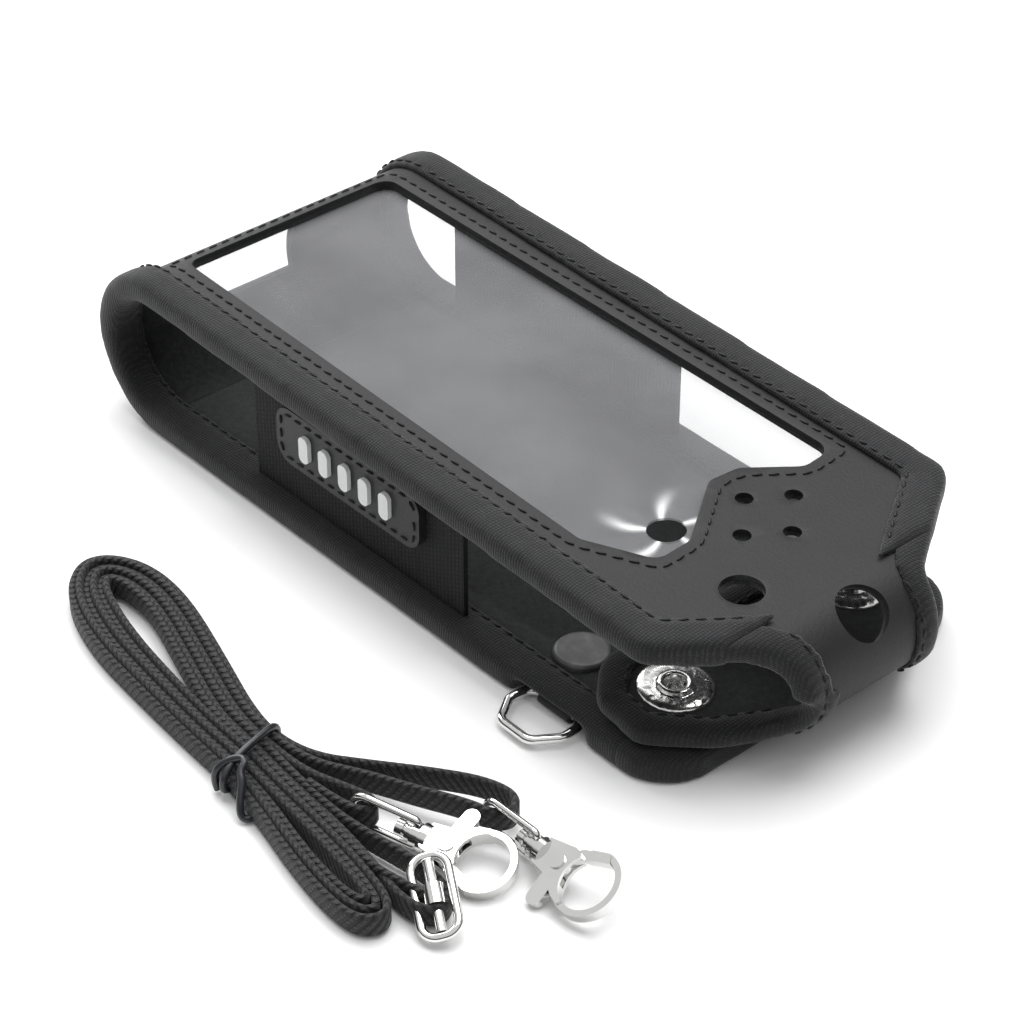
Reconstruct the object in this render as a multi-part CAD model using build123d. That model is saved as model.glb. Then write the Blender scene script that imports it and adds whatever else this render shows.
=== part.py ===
from build123d import *
import os
from math import cos, radians, sin

# Soft carrying case for a hand-held radio, with a clear window, a folding closing flap and a
# clip-on neck strap. Millimetres. +X runs to the mouth that the flap closes, +Y to the far side
# and +Z up. Sizes are measured from the outer leather face of the back panel, midway between
# its edges. save() moves every part, so that the origin is in the middle of the underside of
# the mouth's binding and the case rests on z = 0.

# Layers of the case wall, measured from the joint between leather and lining
leather_thickness = 1.0
lining_thickness = 0.8
film_thickness = 0.4
binding_thickness = 4.6
binding_width = 7.0
binding_grip = 2.0  # how far a panel's edge reaches into its binding
flap_binding_thickness = 3.4

# The case body
case_half_width = 34.0
mouth_x = 73.5
mouth_corner_radius = 10.0
mouth_binding_length = 10.5
end_centre_x = -56.7
end_radius = 13.2
front_slope = 1.83  # degrees that the front panel falls towards the mouth
front_length = 131.2
end_wall_top_z = 25.0
end_opening_near_y = -20.0
end_opening_far_y = 7.0
end_opening_low_z = 11.0
end_opening_depth = 3.0  # how far past the end wall's axis the opening starts

# The front panel's outline towards the flap, and its holes
shoulder_near = (68.0, -34.0)
waist_near = (81.0, -17.0)
waist_far = (80.0, 13.5)
shoulder_far = (66.5, 34.0)
strip_end_x = 95.0
strip_near_y = -11.7
strip_far_y = 12.0
outline_corner_radius = 5.0
window_points = [(-59.8, -22.8), (42.0, -22.8), (53.5, -17.0), (53.2, -10.0), (44.0, 3.0),
                 (44.5, 9.0), (51.0, 17.5), (50.5, 24.0), (-59.8, 22.0)]
window_corner_radius = 3.0
film_lap = 2.8
film_hole_place = (47.0, -9.0)
film_hole_radius = 3.2
speaker_hole_radius = 1.5
speaker_centre = (56.3, 3.9)
speaker_across = (2.2, 3.3)
speaker_along = (3.25, -3.45)
knob_hole_place = (66.9, -12.3)
knob_hole_radius = 3.6

# The closing flap: a bend, then a wide return that lies inside over the back lining
flap_gap = 0.4
flap_binding_width = 5.0
bend_radius = 8.9
return_rise = 3.0  # degrees that the return lifts towards its tip
return_length = 30.0
return_points = [(79.5, -14.5), (74.0, -24.5), (66.0, -32.6), (56.0, -31.8), (50.0, -25.0),
                 (50.0, 23.5), (56.0, 30.3), (66.0, 31.0), (74.0, 23.0), (80.0, 13.5)]
aerial_hole_radius = 4.7
aerial_hole_angle = 38.0  # degrees from straight up, around the bend
aerial_hole_y = -0.1

# Press studs: flanges and sockets on the flap, studs and caps on the back panel
flap_snap_x = 61.7
flap_snap_centre_y = -1.0
flap_snap_half_pitch = 19.5
flange_radius = 6.2
flange_thickness = 0.5
snap_bore_radius = 2.1
snap_tube_wall = 0.4
socket_radius = 4.5
socket_height = 1.3
back_snap_x = 41.8
back_snap_y = 21.6
cap_radius = 4.8
cap_height = 1.2
stud_radius = 4.0
stud_flange_thickness = 0.4
stud_knob_radius = 1.9
stud_knob_fit = 0.05
cap_round_share = 0.7
stud_knob_height = 0.8
stud_post_radius = 1.2

# Elastic mesh panels in the sides, and the badge on the near one
mesh_thickness = 0.9
mesh_y = 30.5
near_mesh_x = (-30.0, 24.0)
far_mesh_x = (-50.0, 9.0)
badge_x = -3.5
badge_gap = 0.1147  # below the front binding, at the badge's end towards the mouth
badge_length = 37.0
badge_height = 11.0
badge_thickness = 1.6
badge_corner_radius = 3.5
bar_count = 5
bar_height = 5.0
bar_width = 2.4
bar_pitch = 5.2
bar_relief = 0.8
bar_corner_radius = 1.09

# D-rings and the leather tabs that hold them
ring_x = 47.3
ring_wire_radius = 0.8
ring_half_width = 6.0
ring_depth = 9.2
ring_bar_inset = 2.5  # from the long edge in to the ring's straight bar
ring_bar_z = 0.2
ring_corner_radius = 2.2
ring_swell = 0.3
ring_shoulder_share = 0.52
ring_nose_share = 0.55
ring_fit = 0.05
tab_thickness = 0.6
tab_width = 7.0
tab_tail = 5.5
groove_half_length = 8.2
groove_top_z = 1.8

# The neck strap, a flat braid that lies on its edge beside the case
strap_width = 4.0
strap_thickness = 1.3
strap_lift = 0.1
eye_pass = 2.9  # how far inside a clasp's eye the strap runs
hank_points = [(18.0, -69.6), (6.0, -65.2), (-10.0, -60.4), (-21.0, -59.7), (-28.6, -63.0),
               (-30.2, -68.4), (-24.0, -74.6), (-12.0, -78.6), (4.0, -80.0), (26.0, -80.6),
               (38.0, -82.4), (52.0, -85.5), (64.6, -86.2), (67.6, -83.4), (67.2, -79.8),
               (70.6, -78.4), (72.2, -75.6), (70.6, -72.8), (66.0, -71.8), (60.0, -71.9),
               (55.0, -72.4), (50.0, -75.4), (44.0, -76.0), (34.0, -75.8), (29.0, -71.0)]
head_hole_points = [(13.0, -74.0), (-1.0, -69.6), (-12.0, -66.6), (-19.0, -67.0),
                    (-20.4, -69.4), (-15.0, -71.8), (-3.0, -74.2)]
fan_hole_points = [(44.5, -79.2), (52.0, -79.2), (59.0, -80.4), (58.8, -81.9), (51.0, -81.5)]
lead_points = [(27.4, -71.6), (34.0, -69.2), (41.0, -64.4), (49.0, -58.6), (56.0, -54.2),
               (61.8, -52.9), (64.2, -55.4), (62.9, -58.15), (58.1, -59.5), (51.0, -63.0),
               (43.0, -66.3), (35.0, -70.6), (27.4, -73.2)]
tail_points = [(27.4, -74.8), (36.0, -72.6), (44.0, -70.6), (48.4, -69.4), (50.4, -70.7),
               (48.6, -73.1), (42.0, -74.0)]
strap_bend_share = 0.48
largest_strap_bend = 40.0
tie_x = 26.0
tie_half_length = 5.6
tie_middle_y = -75.7
tie_wire = 1.1

# The slider on the strap
slider_place = (69.6, -75.4, 2.6)
slider_turn = -29.7
slider_dip = 18.0
slider_roll = 15.0
slider_half_length = 6.6
slider_half_width = 2.8
slider_corner_radius = 2.4
slider_wire_radius = 0.7
slider_bar_radius = 0.8
slider_collar_radius = 1.6
slider_collar_length = 3.4
slider_room = 0.3

# The swivel clasps, each built along its own +X from the eye's end
eye_half_height = 2.75
eye_length = 11.5
eye_end_radius = 2.6
eye_corner_radius = 0.9
eye_wire_radius = 0.6
boss_radius = 1.9
boss_half_length = 0.7
swivel_fit = 0.05
swivel_end_play = 0.08
stem_radius = 0.9
head_radius = 1.55
head_length = 0.9
head_groove_radius = 1.05
head_groove_length = 0.6
head_tail_radius = 1.35
head_tail_length = 1.2
neck_radius = 2.3
neck_length = 1.3
slot_half = 0.66
cheek_thickness = 0.72
cheek_points = [(12.9, -2.2), (12.9, 2.2), (17.6, 3.2), (18.9, 3.0), (20.6, 0.0), (21.7, -4.0),
                (21.3, -5.2), (19.6, -4.7), (16.0, -2.7)]
cheek_corner_radius = 0.35
ring_centre_x = 22.6
ring_outer = (5.1, 5.5)
ring_inner = (4.1, 4.5)
ring_half_thickness = 1.0
ring_root_x = 19.2
gate_gap_y = 1.0
rivet_x = 16.4
rivet_radius = 0.9
rivet_head_radius = 1.35
rivet_head_height = 0.35
gate_reach = 8.3
gate_fit = 0.06
gate_disc_radius = 1.9
gate_knee = (18.7, 3.1)
gate_tip = (23.6, 5.1)
gate_arm_radius = 0.8
gate_thick_x = 19.7
thumb_end = (17.1, -6.1)
thumb_radius = 1.3
first_clasp_place = (60.1, -57.5, 2.25)
first_clasp_turn = 0.0
first_clasp_dip = -1.5
first_clasp_roll = 27.0
second_clasp_place = (46.5, -71.9, 2.5)
second_clasp_turn = 18.2
second_clasp_dip = 3.3
second_clasp_roll = 195.6  # lies the other way up

# Worked out from the sizes above
half_binding = binding_thickness / 2
half_flap_binding = flap_binding_thickness / 2
joint_z = leather_thickness
floor_z = joint_z - half_binding
origin_x = mouth_x - mouth_binding_length / 2
back_binding_top = joint_z + half_binding
lining_top = joint_z + lining_thickness
slope = radians(front_slope)
rise = radians(return_rise)
front_up = Vector(sin(slope), 0, cos(slope))
front_on = Vector(cos(slope), 0, -sin(slope))
return_out = Vector(-sin(rise), 0, -cos(rise))
return_on = Vector(-cos(rise), 0, sin(rise))
end_centre = Vector(end_centre_x, 0, joint_z + end_radius)
front_start = end_centre + front_up * end_radius
bend_start = front_start + front_on * front_length
bend_centre = bend_start - front_up * bend_radius
reach = 2 * case_half_width
past_end = -reach - 40  # an x beyond the round end
high = 60.0
hole_top = 15.0  # from the end wall's centre to the middle of the front panel's cutters
snap_tube_bore = snap_bore_radius - snap_tube_wall
ring_bar_y = case_half_width - ring_bar_inset
front_inner_edge = front_start - front_up * half_binding


def save(node, shape):
    """Writes one sub-part, moved to the origin under the mouth's binding."""
    whole = Compound(children=[shape]) if isinstance(shape, ShapeList) else shape
    export_step(Pos(-origin_x, 0, -floor_z) * whole, f"parts/{node}.step")


def across(edges):
    """A profile in the XZ plane, carried across the whole width of the case."""
    return extrude(Face(Wire(edges)), amount=reach, dir=(0, 1, 0), both=True)


def upright(points, radius, low=-high, top=high):
    """A prism on a plan outline with rounded corners."""
    outline = FilletPolyline(*points, radius=radius, close=True)
    return Pos(0, 0, low) * extrude(make_face(outline), amount=top - low, dir=(0, 0, 1))


def inset_upright(points, radius, distance):
    """The same prism with its outline moved inwards."""
    outline = make_face(FilletPolyline(*points, radius=radius, close=True))
    smaller = offset(outline, amount=-distance)
    return Pos(0, 0, -high) * extrude(smaller, amount=2 * high, dir=(0, 0, 1))


def block(low, top):
    """A box from its lowest corner to its highest."""
    size = [b - a for a, b in zip(low, top)]
    middle = [(a + b) / 2 for a, b in zip(low, top)]
    return Pos(*middle) * Box(*size)


def back_layer(inner, outer):
    """The flat back of the case between two distances from the leather joint, outwards."""
    return block((end_centre_x, -reach, joint_z - outer), (strip_end_x, reach, joint_z - inner))


def end_layer(inner, outer):
    """The round end wall between two distances from the leather joint."""
    down = Vector(0, 0, -1)
    left = Vector(-1, 0, 0)
    small = end_radius + inner
    large = end_radius + outer
    return across([
        ThreePointArc(end_centre + down * large, end_centre + left * large,
                      end_centre + front_up * large),
        Line(end_centre + front_up * large, end_centre + front_up * small),
        ThreePointArc(end_centre + front_up * small, end_centre + left * small,
                      end_centre + down * small),
        Line(end_centre + down * small, end_centre + down * large),
    ])


def front_layer(inner, outer, stop=flap_gap):
    """The sloping front of the case, which ends just before the flap."""
    near = front_start
    far = bend_start - front_on * stop
    corners = [near + front_up * inner, far + front_up * inner,
               far + front_up * outer, near + front_up * outer]
    return across([Line(corners[i], corners[(i + 1) % 4]) for i in range(4)])


def bend_layer(inner, outer):
    """The flap's round bend."""
    right = Vector(1, 0, 0)
    small = bend_radius + inner
    large = bend_radius + outer
    return across([
        ThreePointArc(bend_centre + front_up * large, bend_centre + right * large,
                      bend_centre + return_out * large),
        Line(bend_centre + return_out * large, bend_centre + return_out * small),
        ThreePointArc(bend_centre + return_out * small, bend_centre + right * small,
                      bend_centre + front_up * small),
        Line(bend_centre + front_up * small, bend_centre + front_up * large),
    ])


def return_layer(inner, outer):
    """The flap's return, from the bend to past its tip."""
    near = bend_centre + return_out * bend_radius
    far = near + return_on * return_length
    corners = [near + return_out * inner, far + return_out * inner,
               far + return_out * outer, near + return_out * outer]
    return across([Line(corners[i], corners[(i + 1) % 4]) for i in range(4)])


def front_points():
    """The front panel's plan outline, with the strip that goes round the bend."""
    return [(past_end, -case_half_width), shoulder_near, waist_near,
            (strip_end_x, strip_near_y), (strip_end_x, strip_far_y), waist_far, shoulder_far,
            (past_end, case_half_width)]


def flap_return_points():
    """The return's plan outline."""
    return [(strip_end_x, strip_near_y), *return_points, (strip_end_x, strip_far_y)]


def back_points():
    """The back panel's plan outline."""
    return [(past_end, -case_half_width), (mouth_x, -case_half_width),
            (mouth_x, case_half_width), (past_end, case_half_width)]


panel_inset = binding_width - binding_grip
back_panel_area = inset_upright(back_points(), mouth_corner_radius, panel_inset)
front_panel_area = inset_upright(front_points(), outline_corner_radius, panel_inset)
flap_panel_inset = flap_binding_width - binding_grip
strip_panel_area = inset_upright(front_points(), outline_corner_radius, flap_panel_inset)
return_panel_area = inset_upright(flap_return_points(), outline_corner_radius, flap_panel_inset)
back_ring = (upright(back_points(), mouth_corner_radius)
             - inset_upright(back_points(), mouth_corner_radius, binding_width))
front_ring = (upright(front_points(), outline_corner_radius)
              - inset_upright(front_points(), outline_corner_radius, binding_width))
strip_ring = (upright(front_points(), outline_corner_radius)
              - inset_upright(front_points(), outline_corner_radius, flap_binding_width))
return_ring = (upright(flap_return_points(), outline_corner_radius)
               - inset_upright(flap_return_points(), outline_corner_radius, flap_binding_width))
below_end_wall_top = block((past_end, -reach, -high), (end_centre_x, reach, end_wall_top_z))


def post_hole(x, y, radius):
    """A straight hole through the flat back."""
    return Pos(x, y, 0) * Cylinder(radius, high)


def back_panel(inner, outer):
    """One layer of the back panel, with the two holes for its studs' posts."""
    layer = back_layer(inner, outer) & back_panel_area
    for side in (-1, 1):
        layer = layer - post_hole(back_snap_x, side * back_snap_y, stud_post_radius)
    return layer


def high_hole(x, y, radius):
    """A straight hole through the front, which stops short of the back."""
    return Pos(x, y, end_centre.Z + hole_top) * Cylinder(radius, 2 * hole_top)


def end_wall(inner, outer):
    """One layer of the end wall, open on its near side."""
    opening = block((past_end, end_opening_near_y, end_opening_low_z),
                    (end_centre_x - end_opening_depth, end_opening_far_y, high))
    return (end_layer(inner, outer) & back_panel_area & below_end_wall_top) - opening


def front_holes():
    """The round holes of the front panel."""
    places = [(speaker_centre[0] + a * speaker_across[0] + b * speaker_along[0],
               speaker_centre[1] + a * speaker_across[1] + b * speaker_along[1])
              for a in (-1, 1) for b in (-1, 1)]
    holes = [high_hole(x, y, speaker_hole_radius) for x, y in places]
    return [*holes, high_hole(*knob_hole_place, knob_hole_radius)]


def front_panel(inner, outer):
    """One layer of the front panel: the cross bar on the end wall, the window and the holes."""
    whole = front_layer(inner, outer) + (end_layer(inner, outer) - below_end_wall_top)
    panel = whole & front_panel_area
    panel = panel - upright(window_points, window_corner_radius, low=end_centre.Z)
    for hole in front_holes():
        panel = panel - hole
    return panel


def window_film():
    """The clear film, sewn under the lining all round the window."""
    inner = -lining_thickness - film_thickness
    whole = front_layer(inner, -lining_thickness) + end_layer(inner, -lining_thickness)
    edge = make_face(FilletPolyline(*window_points, radius=window_corner_radius, close=True))
    larger = offset(edge, amount=film_lap)
    area = Pos(0, 0, end_centre.Z) * extrude(larger, amount=high, dir=(0, 0, 1))
    return (whole & area) - high_hole(*film_hole_place, film_hole_radius)


def side_binding(side):
    """The padded tape along one long edge, from the mouth round the end wall to the flap."""
    half = block((past_end, 0, -high), (strip_end_x, reach, high))
    if side < 0:
        half = mirror(half, about=Plane.XZ)
    before_mouth = block((past_end, -reach, -high), (mouth_x - mouth_binding_length, reach, high))
    tape = back_layer(-half_binding, half_binding) & back_ring & before_mouth
    tape = tape + (end_layer(-half_binding, half_binding) & back_ring)
    tape = tape + (front_layer(-half_binding, half_binding) & front_ring)
    tape = tape & half
    for layer in wall_layers():
        tape = tape - layer
    groove = block((ring_x - groove_half_length, -reach, -high),
                   (ring_x + groove_half_length, reach, groove_top_z))
    return tape - groove


def wall_layers():
    """The panels that the bindings wrap."""
    return [make_layer(*pair) for make_layer in (back_panel, end_wall, front_panel)
            for pair in ((0, leather_thickness), (-lining_thickness, 0))]


def mouth_binding():
    """The padded tape across the back panel's mouth edge and round its corners."""
    beyond = block((mouth_x - mouth_binding_length, -reach, -high), (mouth_x + 1, reach, high))
    tape = back_layer(-half_binding, half_binding) & back_ring & beyond
    return tape - back_panel(0, leather_thickness) - back_panel(-lining_thickness, 0)


def front_inner_z(x):
    """The height of the front bindings' inner face."""
    return front_inner_edge.Z - (x - front_inner_edge.X) * sin(slope) / cos(slope)


def badge_z():
    """The height of the badge's middle."""
    return front_inner_z(badge_x + badge_length / 2) - badge_gap - badge_height / 2


def mesh_panel(side, x_range):
    """A flat elastic panel that joins the back and front bindings."""
    start, end = x_range
    tops = [front_inner_z(x) for x in x_range]
    corners = [Vector(start, 0, back_binding_top), Vector(end, 0, back_binding_top),
               Vector(end, 0, tops[1]), Vector(start, 0, tops[0])]
    face = Face(Wire([Line(corners[i], corners[(i + 1) % 4]) for i in range(4)]))
    return Pos(0, side * mesh_y, 0) * extrude(face, amount=mesh_thickness / 2, dir=(0, 1, 0),
                                             both=True)


def badge_patch():
    """The moulded patch on the near mesh."""
    plate = extrude(RectangleRounded(badge_length, badge_height, badge_corner_radius),
                    amount=badge_thickness)
    outer_face = -mesh_y - mesh_thickness / 2
    return Pos(badge_x, outer_face, badge_z()) * Rot(90, 0, 0) * plate


def badge_bars():
    """A row of plain raised bars on the patch."""
    outer_face = -mesh_y - mesh_thickness / 2 - badge_thickness
    bars = []
    for i in range(bar_count):
        x = badge_x + (i - (bar_count - 1) / 2) * bar_pitch
        bar = extrude(RectangleRounded(bar_width, bar_height, bar_corner_radius), amount=bar_relief)
        bars.append(Pos(x, outer_face, badge_z()) * Rot(90, 0, 0) * bar)
    return Compound(children=bars)


def on_return(x, y):
    """A place on the return's leather joint, with local +Z away from the back panel."""
    foot = bend_centre + return_out * bend_radius
    along = (foot.X - x) / cos(rise)
    place = foot + return_on * along
    return Plane(origin=(place.X, y, place.Z), x_dir=return_on * -1, z_dir=return_out * -1)


def bend_hole():
    """The round hole through the flap's bend."""
    angle = radians(aerial_hole_angle)
    outward = Vector(sin(angle), 0, cos(angle))
    start = Plane(origin=(bend_centre.X, aerial_hole_y, bend_centre.Z), z_dir=outward)
    return start * Pos(0, 0, bend_radius) * Cylinder(aerial_hole_radius, bend_radius)


def flap_layer(inner, outer):
    """One layer of the flap with its aerial hole and its two snap holes."""
    top = bend_layer(inner, outer) & strip_panel_area & above_bend_centre()
    low = bend_layer(inner, outer) & return_panel_area - above_bend_centre()
    layer = top + low + (return_layer(inner, outer) & return_panel_area)
    layer = layer - bend_hole()
    for y in flap_snap_ys():
        layer = layer - on_return(flap_snap_x, y) * Cylinder(snap_bore_radius, 10)
    return layer


def above_bend_centre():
    """The half-space where the strip follows the front outline."""
    return block((0, -reach, bend_centre.Z), (strip_end_x, reach, high))


def flap_snap_ys():
    """Where the flap's two snaps are."""
    return [flap_snap_centre_y - flap_snap_half_pitch, flap_snap_centre_y + flap_snap_half_pitch]


def flap_binding():
    """The padded tape round the flap."""
    band = (-half_flap_binding, half_flap_binding)
    top = bend_layer(*band) & strip_ring & above_bend_centre()
    low = (bend_layer(*band) & return_ring) - above_bend_centre()
    tape = top + low + (return_layer(*band) & return_ring)
    for pair in ((0, leather_thickness), (-lining_thickness, 0)):
        tape = tape - flap_layer(*pair)
    return tape


def snap_flange(y):
    """The ring that shows on the flap's felt side, with the tube that goes through the flap."""
    ring = Cylinder(flange_radius, flange_thickness) - Cylinder(snap_tube_bore, 5)
    ring = Pos(0, 0, lining_thickness + flange_thickness / 2) * ring
    through = lining_thickness + leather_thickness
    tube = Cylinder(snap_bore_radius, through) - Cylinder(snap_tube_bore, through + 1)
    tube = Pos(0, 0, lining_thickness - through / 2) * tube
    return on_return(flap_snap_x, y) * (ring + tube)


def snap_socket(y):
    """The cup on the flap's leather side that clips over a stud."""
    cup = Cylinder(socket_radius, socket_height)
    bore = Cylinder(stud_knob_radius + stud_knob_fit, socket_height)
    cup = cup - Pos(0, 0, -socket_height / 2) * bore
    return on_return(flap_snap_x, y) * Pos(0, 0, -leather_thickness - socket_height / 2) * cup


def stud_cap(side):
    """The domed cap inside the case."""
    dome = Cylinder(cap_radius, cap_height)
    dome = fillet(dome.faces().sort_by(Axis.Z)[-1].edges(), cap_height * cap_round_share)
    return Pos(back_snap_x, side * back_snap_y, lining_top + cap_height / 2) * dome


def back_stud(side):
    """The stud outside the back panel, whose post runs through to its cap."""
    low = -stud_flange_thickness
    flange = block_cylinder(stud_radius, low, 0)
    knob = block_cylinder(stud_knob_radius, low - stud_knob_height, low)
    post = block_cylinder(stud_post_radius, 0, lining_top)
    return Pos(back_snap_x, side * back_snap_y, 0) * (flange + knob + post)


def block_cylinder(radius, low, top):
    """An upright cylinder between two heights."""
    return Pos(0, 0, (low + top) / 2) * Cylinder(radius, top - low)


def wire_loop(points, corner, radius):
    """A closed loop of round wire in the XY plane."""
    path = FilletPolyline(*points, radius=corner, close=True)
    section = Plane(origin=path @ 0.5, z_dir=path % 0.5) * Circle(radius)
    return sweep(section, path=Wire(path.edges()))


def d_ring(side):
    """A D-shaped wire ring that lies flat and hinges on its straight bar."""
    w = ring_half_width
    wide = w + ring_swell
    nose = w * ring_nose_share
    shoulder = -ring_depth * ring_shoulder_share
    points = [(-w, 0), (w, 0), (wide, shoulder), (nose, -ring_depth),
              (-nose, -ring_depth), (-wide, shoulder)]
    ring = wire_loop(points, ring_corner_radius, ring_wire_radius)
    ring = Pos(ring_x, -ring_bar_y, ring_bar_z) * ring
    return ring if side < 0 else mirror(ring, about=Plane.XZ)


def ring_tab(side):
    """The leather tab that wraps the ring's bar and is sewn under the back panel."""
    inner = ring_wire_radius + ring_fit
    outer = inner + tab_thickness
    along_x = Rot(0, 90, 0)
    roll = along_x * Cylinder(outer, tab_width)
    tail = Box(tab_width, tab_tail, tab_thickness)
    tail = Pos(0, tab_tail / 2, -ring_bar_z - tab_thickness / 2) * tail
    tab = roll + tail - along_x * Cylinder(inner, tab_width + 1)
    tab = Pos(ring_x, -ring_bar_y, ring_bar_z) * tab
    return tab if side < 0 else mirror(tab, about=Plane.XZ)


def largest_bends(points, closed=False):
    """The largest bend that each corner's two runs allow."""
    if closed:
        corners = zip(points[-1:] + points[:-1], points, points[1:] + points[:1])
    else:
        corners = zip(points, points[1:], points[2:])
    radii = []
    for before, here, after in corners:
        first = Vector(*here) - Vector(*before)
        second = Vector(*after) - Vector(*here)
        half_turn = radians(first.get_angle(second) / 2)
        shorter = min(first.length, second.length)
        radius = strap_bend_share * shorter * cos(half_turn) / sin(half_turn)
        radii.append(min(radius, largest_strap_bend))
    return radii


def strap_band(points, low):
    """A flat strap on its edge along a route, and the radii of its bends."""
    radii = largest_bends(points)
    print("strap bends", [round(r, 1) for r in radii])
    band = trace(FilletPolyline(*points, radius=radii), strap_thickness)
    return Pos(0, 0, low) * extrude(band, amount=strap_width, dir=(0, 0, 1))


def strap_foot(place, dip):
    """The height of the strap's lower edge where it passes through a clasp's eye."""
    return place[2] - eye_pass * sin(radians(dip)) - strap_width / 2


def soft_prism(points, low, height):
    """A prism on a closed outline whose corners are as round as they can be."""
    outline = FilletPolyline(*points, radius=largest_bends(points, closed=True), close=True)
    return Pos(0, 0, low) * extrude(make_face(outline), amount=height, dir=(0, 0, 1))


def hank():
    """The outer shape of the folded strap: its large loop, its neck and its lower loops."""
    low = floor_z + strap_lift
    whole = soft_prism(hank_points, low, strap_width)
    for hole_points in (head_hole_points, fan_hole_points):
        whole = whole - soft_prism(hole_points, low - 1, strap_width + 2)
    return whole - slider_bar(slider_room) - slider_frame_room()


def hank_tie():
    """The wire tie round the hank's neck."""
    low = floor_z + strap_lift
    half = tie_half_length + tie_wire
    hoop = block((tie_x - tie_wire / 2, tie_middle_y - half, low - strap_lift),
                 (tie_x + tie_wire / 2, tie_middle_y + half, low + strap_width + tie_wire))
    room = block((tie_x - tie_wire, tie_middle_y - tie_half_length, low - strap_lift - 1),
                 (tie_x + tie_wire, tie_middle_y + tie_half_length, low + strap_width))
    return hoop - room


def slider_location():
    """The slider leans on the strap, with its long way along local X."""
    return (Location(slider_place) * Rot(0, 0, slider_turn) * Rot(0, slider_dip, 0)
            * Rot(slider_roll, 0, 0))


def slider_frame():
    """The slider's oval wire loop."""
    a = slider_half_length
    b = slider_half_width
    points = [(-a, -b), (a, -b), (a, b), (-a, b)]
    return slider_location() * wire_loop(points, slider_corner_radius, slider_wire_radius)


def slider_frame_room():
    """The room that the slider's wire loop takes in the strap."""
    half = slider_wire_radius + slider_room
    a = 2 * slider_half_length
    b = 2 * slider_half_width
    outer = RectangleRounded(a + 2 * half, b + 2 * half, slider_corner_radius + half)
    inner = RectangleRounded(a - 2 * half, b - 2 * half, slider_corner_radius - half)
    return slider_location() * extrude(outer - inner, amount=half, both=True)


def slider_bar(room=0.0):
    """The slider's middle bar with its collar, and room round it if asked for."""
    length = 2 * (slider_half_length - slider_wire_radius)
    bar = Cylinder(slider_bar_radius + room, length)
    collar = Cylinder(slider_collar_radius + room, slider_collar_length + 2 * room)
    return slider_location() * Rot(0, 90, 0) * (bar + collar)


def clasp_location(place, turn, dip, roll=0.0):
    """A clasp's own frame, from the end of its eye towards its hook."""
    return Location(place) * Rot(0, 0, turn) * Rot(0, dip, 0) * Rot(roll, 0, 0)


def along_clasp(radius, start, end):
    """A cylinder on the clasp's long axis."""
    return Pos((start + end) / 2, 0, 0) * Rot(0, 90, 0) * Cylinder(radius, end - start)


def clasp_eye():
    """The upright wire eye for the strap, and the boss that the hook's stem turns in."""
    h = eye_half_height
    points = [(0, -h), (0, h), (eye_length, h), (eye_length, -h)]
    corners = [eye_end_radius, eye_end_radius, eye_corner_radius, eye_corner_radius]
    loop = Rot(90, 0, 0) * wire_loop(points, corners, eye_wire_radius)
    start = eye_length - boss_half_length
    end = eye_length + boss_half_length
    return loop + along_clasp(boss_radius, start, end) - along_clasp(stem_radius + swivel_fit,
                                                                   start - 1, end + 1)


def clasp_stem():
    """The stem through the boss, with the grooved head that keeps it there."""
    head_x = eye_length - boss_half_length - swivel_end_play
    groove_x = head_x - head_length
    tail_x = groove_x - head_groove_length
    stem = along_clasp(stem_radius, head_x, eye_length + 2 * boss_half_length)
    head = along_clasp(head_radius, groove_x, head_x)
    groove = along_clasp(head_groove_radius, tail_x, groove_x)
    tail = along_clasp(head_tail_radius, tail_x - head_tail_length, tail_x)
    return stem + head + groove + tail


def hook_oval(size):
    """One of the hook's two ovals."""
    return Pos(ring_centre_x, 0) * Ellipse(*size)


def clasp_hook():
    """The hook: its stem, a neck, two cheeks and an oval that the gate closes."""
    neck_x = eye_length + boss_half_length + swivel_end_play
    neck = along_clasp(neck_radius, neck_x, neck_x + neck_length)
    outline = make_face(FilletPolyline(*cheek_points, radius=cheek_corner_radius, close=True))
    cheek = extrude(outline - hook_oval(ring_inner), amount=cheek_thickness, dir=(0, 0, 1))
    upper = Pos(0, 0, slot_half) * cheek
    lower = Pos(0, 0, -slot_half - cheek_thickness) * cheek
    oval = hook_oval(ring_outer) - hook_oval(ring_inner)
    ring = extrude(oval, amount=ring_half_thickness, both=True)
    gap = Pos(rivet_x, 0, 0) * Cylinder(gate_reach, 10) & block((0, gate_gap_y, -9), (40, 20, 9))
    root = block((0, -20, -9), (ring_root_x, gate_gap_y, 9))
    hook = clasp_stem() + neck + upper + lower + (ring - gap - root)
    return hook - Pos(rivet_x, 0, 0) * Cylinder(rivet_radius, 10)


def clasp_rivet():
    """The rivet that the gate turns on."""
    face = slot_half + cheek_thickness
    shank = block_cylinder(rivet_radius, -face, face)
    top_head = block_cylinder(rivet_head_radius, face, face + rivet_head_height)
    low_head = block_cylinder(rivet_head_radius, -face - rivet_head_height, -face)
    return Pos(rivet_x, 0, 0) * (shank + top_head + low_head)


def bar_between(start, end, radius, half_height):
    """A flat bar with round ends."""
    first = Vector(*start)
    run = Vector(*end) - first
    middle = first + run * 0.5
    turn = run.get_angle(Vector(1, 0, 0)) * (1 if run.Y > 0 else -1)
    flat = Pos(middle.X, middle.Y) * Rot(0, 0, turn) * SlotCenterToCenter(run.length, 2 * radius)
    return extrude(flat, amount=half_height, both=True)


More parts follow.
